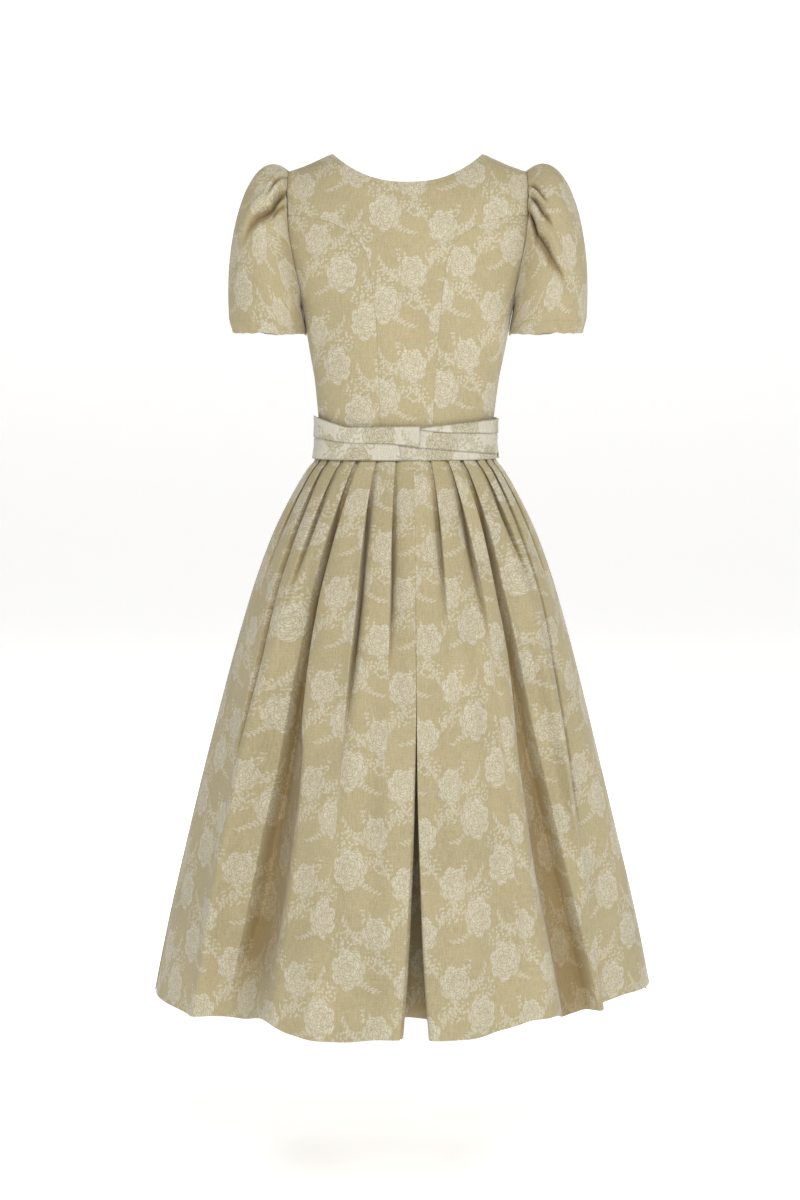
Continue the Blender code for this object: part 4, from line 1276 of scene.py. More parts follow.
@dataclass
class Skirt:
    """The full skirt: knife pleats that face a centre inverted pleat, hanging in broad folds."""

    rows: int = 98
    row_power: float = 1.12
    top_gap: float = 0.0006
    rounds: int = 2
    deepening: float = 1.40
    # How deep a fold sinks before its painted shade is full; deep inside the centre box pleat the painted
    # shade is eased.
    full_shade_depth: float = 0.019
    box_light: float = 0.55
    box_light_from: float = 0.05
    box_light_over: float = 0.05
    ripple_start: float = 0.35
    ripple_side: int = 8
    panel_end: float = 0.97
    soft_lip: float = 0.6
    turn_step: float = 0.02
    hidden_from: float = 0.45
    drop_angle: float = 0.3
    hem_stitch: float = 0.080
    hem_reach: float = 7.0
    waist_depth: float = 0.0056
    tuck: float = 0.0065
    growth: float = 0.12
    fade: float = 0.16
    fade_lead: float = 0.12
    bend: float = 0.0020
    open_bend: float = 0.30
    open_rest: float = 0.80
    open_fold: tuple[float, float, float] = (0.012, 0.030, 0.060)
    recess: tuple[tuple[float, float], ...] = ((0.12, 0.64), (0.20, 0.34), (0.32, 0.12), (0.48, 0.02))
    open_recess: tuple[tuple[float, float], ...] = ((0.55, 1.0), (0.90, 0.88), (1.12, 0.22), (1.40, 0.02))
    box_open_z: float = -0.72
    box_open: float = 0.35
    box_soft: dict[Hand, float] = field(default_factory=lambda: {Hand.LEFT: 0.013, Hand.RIGHT: 0.002})
    side_panel: tuple[float, ...] = (0.0, 0.4, 0.75)
    box_round: float = 0.08
    box_floor_end: float = 0.98
    valley_start: float = 0.25
    valley_power: float = 1.7
    waist_share: float = 0.80  # the cut's width at the waist, as a share of that at the hem

    def _along(self, values: Sequence[float], z: Array) -> Array:
        """Read a value that runs from the waist's over the hips' to the hem's."""
        return np.interp(-z, [-FIGURE.waist_z, -FIGURE.hip_z, -FIGURE.hem_z], values)

    def _step(self, pleat: Pleat, z: Array) -> Array:
        """Return how deep a pleat's step is at the height z."""
        grown = mix(self.waist_depth, pleat.depth * self.deepening, ease((FIGURE.waist_z - z) / self.growth))
        return grown * (1 - ease((pleat.fade_z + self.fade_lead - z) / self.fade))

    def _turn_per_metre(self, angle: Array, z: Array, side: Side) -> Array:
        """Measure how far the section's angle turns along a metre of the smooth form.

        Args:
            angle: The places' angles, in radians.
            z: Their heights.
            side: Back or front.

        Returns:
            The turn at each, in radians.
        """
        steps = -self.turn_step, self.turn_step
        before, after = (FIGURE.skirt(angle + step, z, 0.0, side) for step in steps)
        return 2 * self.turn_step / np.maximum(np.linalg.norm(after - before, axis=-1), 1e-6)

    def _half_row(self, hand: Hand, side: Side, z: Array, middle: Array) -> list[tuple[Array, Array, bool]]:
        """Place the folds of one side, from the side seam to the centre pleat.

        Args:
            hand: Which side of the wearer.
            side: Back or front.
            z: The heights of the rows.
            middle: The angle of the centre in each row.

        Returns:
            For each place its angles, its depths, and whether it lies inside a fold.
        """
        chosen = SKIRT_HALVES[side]
        pleats = chosen.left if hand is Hand.LEFT else chosen.right[::-1]
        opened = ease((FIGURE.waist_z - z) / (FIGURE.waist_z - FIGURE.hip_z))
        tuck = self.tuck * (1 - opened)
        mouth, floor, deep = (column(BOX_FOLDS, name, z) for name in ("mouth", "floor", "depth"))
        box_turn = self._turn_per_metre(middle, z, side)
        box_bend = self.bend + self.box_round * np.maximum(deep - 2 * self.bend, 0.0)
        edges = [FIGURE.angle_across(self._along((p.waist, p.hip, p.hem), z), z) for p in pleats]
        ends = edges[1:] + [middle + hand.value * mouth * box_turn]
        seam = hand.value * math.pi / 2
        none = np.zeros_like(z)
        soft = self.box_soft[hand] * ease((self.box_open_z - z) / self.box_open)
        row = [(seam + (edges[0] - seam) * share, none, False) for share in self.side_panel]
        for pleat, edge, end in zip(pleats, edges, ends):
            gap, step = end - edge, self._step(pleat, z)
            outward = hand.value * self._turn_per_metre(edge, z, side)
            tucked = edge + tuck * outward
            recess, reach = self.recess, gap
            if pleat.gaps:
                recess, reach = self.open_recess, -outward * column(pleat.gaps, "width", z)
            first, second, third = (share * opened * gap for share in self.open_fold)
            row.append((edge, none, False))
            row.append((edge + first, -mix(self.bend, self.open_bend * step, opened), True))
            row.append((tucked + second, -mix(step - self.bend, self.open_rest * step, opened), True))
            row.append((tucked + third, -step, True))
            row += [(edge + share * reach, -step * part, False) for share, part in recess]
            row.append((edge + self.panel_end * gap, none, False))
        lip, floor_turn = -soft * self.soft_lip, hand.value * floor * box_turn
        row.append((ends[-1] + hand.value * soft * box_turn, none, False))
        row.append((ends[-1], lip, False))
        row.append((ends[-1], lip - box_bend, True))
        row.append((middle + floor_turn, -deep + box_bend, True))
        row.append((middle + floor_turn * self.box_floor_end, -deep, True))
        return row

    def _valleys(self, across: Array, z: Array, valleys: Sequence[Valley]) -> Array:
        """Measure how deep places of the skirt lie in its broad hollows.

        Args:
            across: The places across.
            z: Their heights.
            valleys: The hollows.

        Returns:
            The depths, as negative distances.
        """
        depth = np.zeros_like(across)
        wide = column(SKIRT, "half_width", z)
        for valley in valleys:
            down = np.clip((valley.start_z - z) / (valley.start_z - FIGURE.hem_z), 0.0, 1.0)
            middle = mix(valley.top, valley.hem, down)
            half = np.where(across < middle, valley.left_width, valley.right_width)
            away = np.abs(across - middle) * wide / (half * mix(self.valley_start, 1.0, down))
            deep = valley.mid_depth * np.sin(math.pi * down) ** 2 + valley.hem_depth * down**self.valley_power
            depth = depth - deep * (1 - np.clip(away, 0, 1) ** 2) ** 2
        return depth

    def _ripples(self, across: Array, z: Array, side: Side) -> Array:
        """Measure the small unevenness of hanging linen.

        Args:
            across: The places across.
            z: Their heights.
            side: Back or front.

        Returns:
            How far each place stands out, negative where it sinks in.
        """
        down = np.clip((FIGURE.waist_z - z) / (FIGURE.waist_z - FIGURE.hem_z), 0.0, 1.0)
        shift = RIPPLE_SHIFTS[side]
        upright = sum(wave.at(across, down, shift) for wave in RIPPLES)
        level = math.prod(wave.at(across, z, shift) for wave in LEVEL_RIPPLES)
        return (upright + level) * ease(down / self.ripple_start) * (1 - across**self.ripple_side)

    def half(self, side: Side) -> Cloth:
        """Build the front or the back of the skirt.

        Args:
            side: Back or front.

        Returns:
            The cut piece.
        """
        chosen = SKIRT_HALVES[side]
        share = np.linspace(0, 1, self.rows)
        z = mix(FIGURE.waist_z - self.top_gap, FIGURE.hem_z, share**self.row_power)
        middle = FIGURE.angle_across(self._along(chosen.box_across, z), z)
        left, right = (self._half_row(hand, side, z, middle) for hand in Hand)
        centre = (middle, -column(BOX_FOLDS, "depth", z), True)
        places = left + [centre] + right[::-1]
        coarse = np.stack([np.stack([angle, depth], axis=-1) for angle, depth, _ in places], axis=1)
        fine = cut_corners(coarse, self.rounds)
        angle, depth = fine[..., 0], fine[..., 1]
        # Painted shade: the folds' recesses are darkened by their depth, less so deep inside the centre box
        # pleat.
        lit = self.box_light * ease((-depth - self.box_light_from) / self.box_light_over)
        hollow = np.clip(-depth / self.full_shade_depth, 0.0, 1.0) * (1 - lit)
        heights = np.repeat(z[:, None], fine.shape[1], axis=1)
        across = np.sign(angle) * np.abs(np.sin(angle)) ** (2 / FIGURE.exponent(heights))
        depth = depth + self._valleys(across, heights, chosen.side_dips)
        depth = depth + self._ripples(across, heights, side)
        points = FIGURE.skirt(angle, heights, depth, side)
        points[..., 1] += side.value * self._valleys(across, heights, chosen.valleys)
        if side is Side.BACK:
            points[..., 2] += smooth(across, *zip(*HEM_LIFTS)) * share[:, None] ** self.hem_reach
        below = walked(FIGURE.skirt(angle, heights, 0.0, side), axis=0)
        marks = {"hollow": hollow, "stitch": below[-1:] - below - self.hem_stitch, "seam": to_ends(points, 1)}
        uv = self._cloth_coordinates(points, places, side)
        node = "skirt_" + side.name.lower()
        sewn_to = "cloth_back_centre" if side is Side.BACK else "cloth_front_left"
        return Cloth(node, points, uv, flat=(1.40, 0.78), area=0.955, held=Held.HUNG, outward=from_axis,
                     wall=0.0010, rests_on=(sewn_to,), marks=marks)

    def _cloth_coordinates(self, points: Array, places: list[tuple], side: Side) -> Array:
        """Lay the cloth so that its threads follow the folds' edges, with the surplus hidden in the folds.

        Args:
            points: The grid of points.
            places: The places that its columns were made from, each with whether it lies inside a fold.
            side: Back or front.

        Returns:
            The cloth coordinates of each point.
        """
        count = points.shape[1]
        source = np.linspace(0, len(places) - 1, count)
        inside = np.array([kind for _, _, kind in places], float)
        between = source[:-1] / 2 + source[1:] / 2
        hidden = np.interp(between, np.arange(len(places)), inside) > self.hidden_from
        steps = np.linalg.norm(np.diff(points, axis=1), axis=-1)
        down = np.linspace(0, 1, points.shape[0])
        wanted = steps[-1][None, :] * mix(self.waist_share, 1.0, down)[:, None]
        blocks = np.split(np.arange(count - 1), np.flatnonzero(np.diff(hidden)) + 1)
        given = np.zeros_like(steps)
        panels = [block for block in blocks if not hidden[block[0]]]
        folds = [block for block in blocks if hidden[block[0]]]
        for block in panels:
            cloth, arc = wanted[:, block].sum(axis=1), steps[:, block].sum(axis=1)
            scale = np.minimum(cloth / np.maximum(arc, 1e-9), 1.0)
            given[:, block] = steps[:, block] * scale[:, None]
        for block in folds:
            near = [p for p in panels if p[-1] == block[0] - 1 or p[0] == block[-1] + 1]
            spare = sum(wanted[:, p].sum(axis=1) - given[:, p].sum(axis=1) for p in near) / 2
            cloth = wanted[:, block].sum(axis=1) + spare
            arc = np.maximum(steps[:, block].sum(axis=1), 1e-9)
            given[:, block] = steps[:, block] * (cloth / arc)[:, None]
        u = np.concatenate([np.zeros((len(given), 1)), np.cumsum(given, axis=1)], axis=1)
        u = u - u[:, count // 2][:, None]
        form = FIGURE.skirt(np.full(len(points), self.drop_angle), points[:, 0, 2], 0.0, side)
        v = -walked(form, axis=0)[:, None] + np.zeros((1, count))
        return SKIRT_PHASES[side].lay(u, v)

    def pieces(self) -> list[Cloth]:
        """Return both halves of the skirt."""
        return [self.half(side) for side in Side]


# ---------------------------------------------------------------- sash
@dataclass(frozen=True)
class Edge:
    """A point along one edge of a stretch of sash."""

    x: float
    z: float


@dataclass(frozen=True)
class Stretch:
    """A stretch of sash on the back: its upper and lower edges and its layer over the bodice."""

    node: str
    top: list[Edge]
    low: list[Edge]
    layer: int
    flat: tuple[float, float]
    area: float


SASH_LOW_Z = -0.4312
SASH_TOP_Z = -0.3740
SASH_SIDE_X = 0.1300
WRINKLES = (Wave(0.35, 46, 0.0), Wave(0.45, 19, 0.0, 9.0))
WRINKLE_SHIFTS = (5.0, 2.0)
BAND_FOLDS = (Wave(0.0007, 15), Wave(0.9, 1.3))
BAND_PHASE = Phase(0.4, 0.02)
STRETCHES: list[Stretch] = [
    Stretch(
        "sash_left_upper",
        [Edge(-0.1300, -0.3706), Edge(-0.1001, -0.3806), Edge(-0.0802, -0.3855), Edge(-0.0390, -0.3845),
         Edge(0.0194, -0.3838)],
        [Edge(-0.1300, -0.4004), Edge(-0.0746, -0.4075), Edge(-0.0300, -0.4080), Edge(0.0036, -0.4110),
         Edge(0.0194, -0.4135)],
        2, (0.19, 0.030), 0.0050,
    ),
    Stretch(
        "sash_left_lower",
        [Edge(-0.1300, -0.3960), Edge(-0.0300, -0.4020), Edge(-0.0108, -0.4030)],
        [Edge(-0.1300, SASH_LOW_Z), Edge(-0.0300, SASH_LOW_Z), Edge(-0.0050, SASH_LOW_Z)],
        1, (0.165, 0.038), 0.0056,
    ),
    Stretch(
        "sash_right_top",
        [Edge(0.0202, -0.3862), Edge(0.0845, -0.3791), Edge(0.1300, -0.3743)],
        [Edge(0.0202, -0.3890), Edge(0.0561, -0.3926), Edge(0.1300, -0.3948)],
        2, (0.145, 0.021), 0.0022,
    ),
    Stretch(
        "sash_right_middle",
        [Edge(0.0080, -0.3880), Edge(0.0845, -0.3860), Edge(0.1300, -0.3850)],
        [Edge(0.0080, -0.4128), Edge(0.0462, -0.4161), Edge(0.1300, -0.4239)],
        1, (0.155, 0.039), 0.0050,
    ),
    Stretch(
        "sash_right_lower",
        [Edge(-0.0200, -0.4020), Edge(0.0462, -0.4080), Edge(0.1300, -0.4160)],
        [Edge(-0.0200, SASH_LOW_Z), Edge(0.0462, SASH_LOW_Z), Edge(0.1300, SASH_LOW_Z)],
        0, (0.185, 0.032), 0.0046,
    ),
]


@dataclass
class Sash:
    """The wound sash: five stretches that show on the back and a plain band over the front."""

    lift: float = 0.0022
    layer_step: float = 0.0021
    columns: int = 160
    rows: int = 26
    puff: float = 0.0010
    puffed: tuple[float, float] = (0.55, 0.30)
    phase_step: Phase = Phase(0.031, 0.027, 3.0)
    phase_v: float = 0.05
    reach_per_turn: float = 0.13
    band_reach_per_turn: float = 0.1

    def _grid(self) -> tuple[Array, Array]:
        """Return how far down and how far along each point of a stretch is, as shares."""
        shares = (np.linspace(0, 1, count) for count in (self.rows, self.columns))
        return tuple(np.meshgrid(*shares, indexing="ij"))

    def _height(self, edges: Sequence[Edge], x: Array) -> Array:
        """Return the height of an edge over x."""
        return smooth(x, [e.x for e in edges], [e.z for e in edges])

    def _angle(self, x: float) -> float:
        """Return the angle of a place x on an edge; the ends at the sides are a quarter turn."""
        return math.copysign(math.asin(min(abs(x) / SASH_SIDE_X, 1.0) ** (FIGURE.squareness / 2)), x)

    def _lifted(self, down: Array, x: Array, layer: int) -> Array:
        """Measure how far a layer is off the bodice, puffed in its middle and drawn down at its edges.

        Args:
            down: The share of the way down it.
            x: The places' x.
            layer: How many layers lie under it.

        Returns:
            The distance at each place.
        """
        rounded = np.clip(1 - (2 * down - 1) ** 2, 0.0, 1.0) ** 0.25
        wrinkle = sum(wave.at(x, down, shift * layer) for wave, shift in zip(WRINKLES, WRINKLE_SHIFTS))
        puffed, wrinkled = self.puffed
        return self.lift + self.layer_step * layer + self.puff * rounded * (puffed + wrinkled * wrinkle)

    def stretch(self, item: Stretch, index: int) -> Cloth:
        """Build one stretch of the sash on the back.

        Args:
            item: The stretch.
            index: Its place among the stretches.

        Returns:
            The cut piece.
        """
        down, along = self._grid()
        starts = mix(self._angle(item.top[0].x), self._angle(item.low[0].x), down)
        ends = mix(self._angle(item.top[-1].x), self._angle(item.low[-1].x), down)
        angle = mix(starts, ends, along)
        x = SASH_SIDE_X * np.sign(angle) * np.abs(np.sin(angle)) ** (2 / FIGURE.squareness)
        z = mix(self._height(item.top, x), self._height(item.low, x), down)
        points = FIGURE.waist(angle, z, self._lifted(down, x, item.layer), Side.BACK)
        step = self.phase_step
        phase = Phase(step.u * index, step.v * index + self.phase_v, step.turn * (index - 2))
        uv = phase.lay(walked(points, axis=1) + self.reach_per_turn * starts, -walked(points, axis=0))
        return Cloth(item.node, points, uv, flat=item.flat, area=item.area, held=Held.FOLDED,
                     outward=from_axis, wall=0.0009, rests_on=("cloth_back_centre",),
                     marks=self._edges(points))

    def _edges(self, points: Array) -> dict[str, Array]:
        """Return the mark of the stretch's turned-in edges, which its material darkens: partly a thin edge
        line, partly painted shadow.
        """
        return {"seam": np.minimum(to_ends(points, 0), to_ends(points, 1))}

    def front(self) -> Cloth:
        """Build the band over the front, from side to side.

        Returns:
            The cut piece.
        """
        down, along = self._grid()
        angle = math.pi * (along - 0.5)
        z = mix(SASH_TOP_Z, SASH_LOW_Z, down)
        fold, sway = BAND_FOLDS
        folds = fold.at(down, 0.0, sway.at(angle)) * np.clip(np.sin(math.pi * down), 0, 1)
        lift = self._lifted(down, angle * self.band_reach_per_turn, 1) + folds
        points = FIGURE.waist(angle, z, lift, Side.FRONT)
        uv = BAND_PHASE.lay(-walked(points, axis=1), -walked(points, axis=0))
        return Cloth("sash_front", points, uv, flat=(0.38, 0.062), area=0.0230, held=Held.FOLDED,
                     outward=from_axis, wall=0.0009, rests_on=("cloth_front_left",),
                     marks=self._edges(points))

    def pieces(self) -> list[Cloth]:
        """Return every stretch of the sash."""
        return [*[self.stretch(item, index) for index, item in enumerate(STRETCHES)], self.front()]


# ---------------------------------------------------------------- shader maths
class Value:
    """A number that varies over a surface: a node socket with ordinary arithmetic."""

    def __init__(self, paint: "Paint", socket: bpy.types.NodeSocket) -> None:
        """Wrap a socket of a material's node tree."""
        self.paint = paint
        self.socket = socket

    def _math(self, operation: str, *others: "Value | float") -> "Value":
        """Add a Math node that starts from this value."""
        return self.paint.math(operation, self, *others)

    def __add__(self, other: "Value | float") -> "Value":
        """Add."""
        return self._math("ADD", other)

    def __radd__(self, other: float) -> "Value":
        """Add, reflected."""
        return self._math("ADD", other)

    def __sub__(self, other: "Value | float") -> "Value":
        """Subtract."""
        return self._math("SUBTRACT", other)

    def __rsub__(self, other: float) -> "Value":
        """Subtract, reflected."""
        return self.paint.math("SUBTRACT", other, self)

    def __mul__(self, other: "Value | float") -> "Value":
        """Multiply."""
        return self._math("MULTIPLY", other)

    def __rmul__(self, other: float) -> "Value":
        """Multiply, reflected."""
        return self._math("MULTIPLY", other)

    def __truediv__(self, other: "Value | float") -> "Value":
        """Divide."""
        return self._math("DIVIDE", other)

    def __rtruediv__(self, other: float) -> "Value":
        """Divide, reflected."""
        return self.paint.math("DIVIDE", other, self)

    def __pow__(self, other: float) -> "Value":
        """Raise to a power."""
        return self._math("POWER", other)

    def __rpow__(self, other: float) -> "Value":
        """Raise to a power, reflected."""
        return self.paint.math("POWER", other, self)

    def floor(self) -> "Value":
        """Round down."""
        return self._math("FLOOR")

    def abs(self) -> "Value":
        """Drop the sign."""
        return self._math("ABSOLUTE")

    def sin(self) -> "Value":
        """Take the sine."""
        return self._math("SINE")

    def min(self, other: "Value | float") -> "Value":
        """Take the smaller."""
        return self._math("MINIMUM", other)

    def max(self, other: "Value | float") -> "Value":
        """Take the larger."""
        return self._math("MAXIMUM", other)

    def wrap(self, period: float) -> "Value":
        """Fold into 0 to the period."""
        return self - (self / period).floor() * period

    def below(self, limit: "Value | float", soft: float) -> "Value":
        """Return 1 below the limit and 0 above it, over a soft width."""
        return self.paint.clamp((limit - self) * (1 / soft) + 0.5)


class Paint:
    """A material whose shader is written as expressions."""

    def __init__(self, name: str) -> None:
        """Start a material with one Principled shader."""
        self.material = bpy.data.materials.new(name)
        self.material.use_nodes = True
        self.tree = self.material.node_tree
        self.shader = self.tree.nodes["Principled BSDF"]

    def node(self, kind: str, settings: dict[str, object], **sockets: object) -> bpy.types.Node:
        """Add a node.

        Args:
            kind: Its type.
            settings: Its settings, which are set first.
            **sockets: Values or links for its sockets; a name may use _ for a space, or be in0, in1.

        Returns:
            The node.
        """
        made = self.tree.nodes.new(kind)
        for key, setting in settings.items():
            setattr(made, key, setting)
        for key, wanted in sockets.items():
            socket = made.inputs[int(key[2:])] if key[2:].isdigit() else made.inputs[key.replace("_", " ")]
            if isinstance(wanted, Value):
                self.tree.links.new(wanted.socket, socket)
            elif isinstance(wanted, bpy.types.NodeSocket):
                self.tree.links.new(wanted, socket)
            else:
                short = socket.type == "RGBA" and len(wanted) == 3
                socket.default_value = (*wanted, 1.0) if short else wanted
        return made

    def math(self, operation: str, *values: Value | float) -> Value:
        """Add a Math node."""
        sockets = {f"in{i}": value for i, value in enumerate(values)}
        return Value(self, self.node("ShaderNodeMath", {"operation": operation}, **sockets).outputs[0])

    def clamp(self, value: Value) -> Value:
        """Keep a value within 0 to 1."""
        return Value(self, self.node("ShaderNodeClamp", {}, in0=value).outputs[0])

    def vector(self, x: Value | float, y: Value | float) -> bpy.types.NodeSocket:
        """Join two values to a vector."""
        return self.node("ShaderNodeCombineXYZ", {}, in0=x, in1=y).outputs[0]

    def noise(self, x: Value | float, y: Value | float, scale: float, detail: float = 2.0) -> Value:
        """Read a smooth noise of about -1 to 1."""
        made = self.node("ShaderNodeTexNoise", {}, Vector=self.vector(x, y), Scale=scale, Detail=detail)
        return Value(self, made.outputs["Fac"]) * 2 - 1

    def blend(self, share: Value, first: object, last: object) -> bpy.types.NodeSocket:
        """Mix two colours."""
        made = self.node("ShaderNodeMix", {"data_type": "RGBA"}, Factor=share, in6=first, in7=last)
        return made.outputs[2]

    def shade(self, colour: object, amount: Value) -> bpy.types.NodeSocket:
        """Multiply a colour by a value."""
        return self.node("ShaderNodeVectorMath", {"operation": "SCALE"}, in0=colour, Scale=amount).outputs[0]

    def tint(self, colour: object, by: Sequence[float]) -> bpy.types.NodeSocket:
        """Multiply a colour by a colour."""
        return self.node("ShaderNodeVectorMath", {"operation": "MULTIPLY"}, in0=colour, in1=by).outputs[0]

    def mark(self, name: str) -> Value:
        """Read one of a piece's own marks."""
        made = self.node("ShaderNodeAttribute", {"attribute_name": name})
        return Value(self, made.outputs["Fac"])

    def put(self, name: str, value: object) -> None:
        """Set or link one socket of the shader."""
        socket = self.shader.inputs[name]
        if isinstance(value, Value):
            self.tree.links.new(value.socket, socket)
        elif isinstance(value, bpy.types.NodeSocket):
            self.tree.links.new(value, socket)
        else:
            socket.default_value = value


# ---------------------------------------------------------------- the jacquard
@dataclass(frozen=True)
class Rose:
    """A rose of the pattern: its centre in its cell, its half width, its turn and its height to its width."""

    x: float
    y: float
    radius: float
    turn: float
    tall: float = 1.20


@dataclass(frozen=True)
class Spray:
    """A spray of leaves: where its stem starts, its direction, its length, its bend and its leaves' size."""

    x: float
    y: float
    heading: float
    length: float
    bend: float
    leaf: float = 0.0058


@dataclass(frozen=True)
class Bush:
    """A patch of scattered small leaves: its middle, its half sizes and its tilt in degrees."""

    x: float
    y: float
    half_length: float
    half_width: float
    tilt: float


@dataclass(frozen=True)
class Petals:
    """A ring of petals in a rose: its share of the rose's size, its petals, its turn and its waviness."""

    size: float
    count: float
    turn: float
    wave: float


ROSES: tuple[Rose, ...] = (Rose(-0.0190, 0.0225, 0.0212, 0.3), Rose(0.0190, -0.0215, 0.0238, 1.9))
PETAL_RINGS: tuple[Petals, ...] = (
    Petals(0.85, 4.0, 0.4, 0.100),
    Petals(0.71, 3.5, 1.3, 0.110),
    Petals(0.57, 3.0, 0.2, 0.110),
    Petals(0.44, 2.5, 0.9, 0.100),
    Petals(0.32, 2.0, 0.1, 0.090),
    Petals(0.21, 1.5, 0.7, 0.070),
    Petals(0.11, 1.0, 0.3, 0.040),
)
SPRAYS: tuple[Spray, ...] = (
    Spray(0.0020, 0.0160, 18.0, 0.036, 17.0),
    Spray(-0.0140, -0.0080, 195.0, 0.032, 19.0),
    Spray(0.0010, -0.0400, 236.0, 0.024, -24.0),
)
BUSHES: tuple[Bush, ...] = (
    Bush(-0.0220, -0.0140, 0.0240, 0.0140, 24.0),
    Bush(0.0220, 0.0150, 0.0250, 0.0150, -14.0),
    Bush(-0.0030, 0.0460, 0.0130, 0.0080, 60.0),
)


@dataclass(frozen=True)
class Drawing:
    """How the motifs are drawn: a rose's measures are shares of its half width, a leaf's of its length."""

    rose_sway: float = 0.30
    rose_sway_scale: float = 90.0
    rose_rough: float = 0.075
    rose_rough_scale: float = 150.0
    scallops: float = 3.5
    scallop_depth: float = 0.17
    rose_soft: float = 0.06
    cleft: float = 0.10
    cleft_soft: float = 0.14
    cleft_inside: float = 0.09
    cleft_reach: float = 0.075
    cleft_end: float = 0.02
    cleft_strength: float = 0.7
    line: float = 0.012
    line_soft: float = 0.026
    shade_rings: float = 7.0
    shade_turn: float = 0.9
    leaf_lean: float = 0.95
    spray_pitch: float = 0.86
    spray_begin: float = 0.30
    leaf_middle: float = 0.52
    leaf_pointed: float = 1.15
    leaf_half_width: float = 0.235
    spray_end: float = 0.0010
    stem: float = 0.0006
    vein: float = 0.00025
    vein_soft: float = 0.0003
    vein_strength: float = 0.5
    patch_soft: float = 0.35
    scatter: float = 0.85
    scattered_least: float = 0.42
    scattered_range: float = 0.25
    scattered_width: float = 0.24
    scattered_vein: float = 0.00022
    scattered_vein_strength: float = 0.55


DRAWN = Drawing()


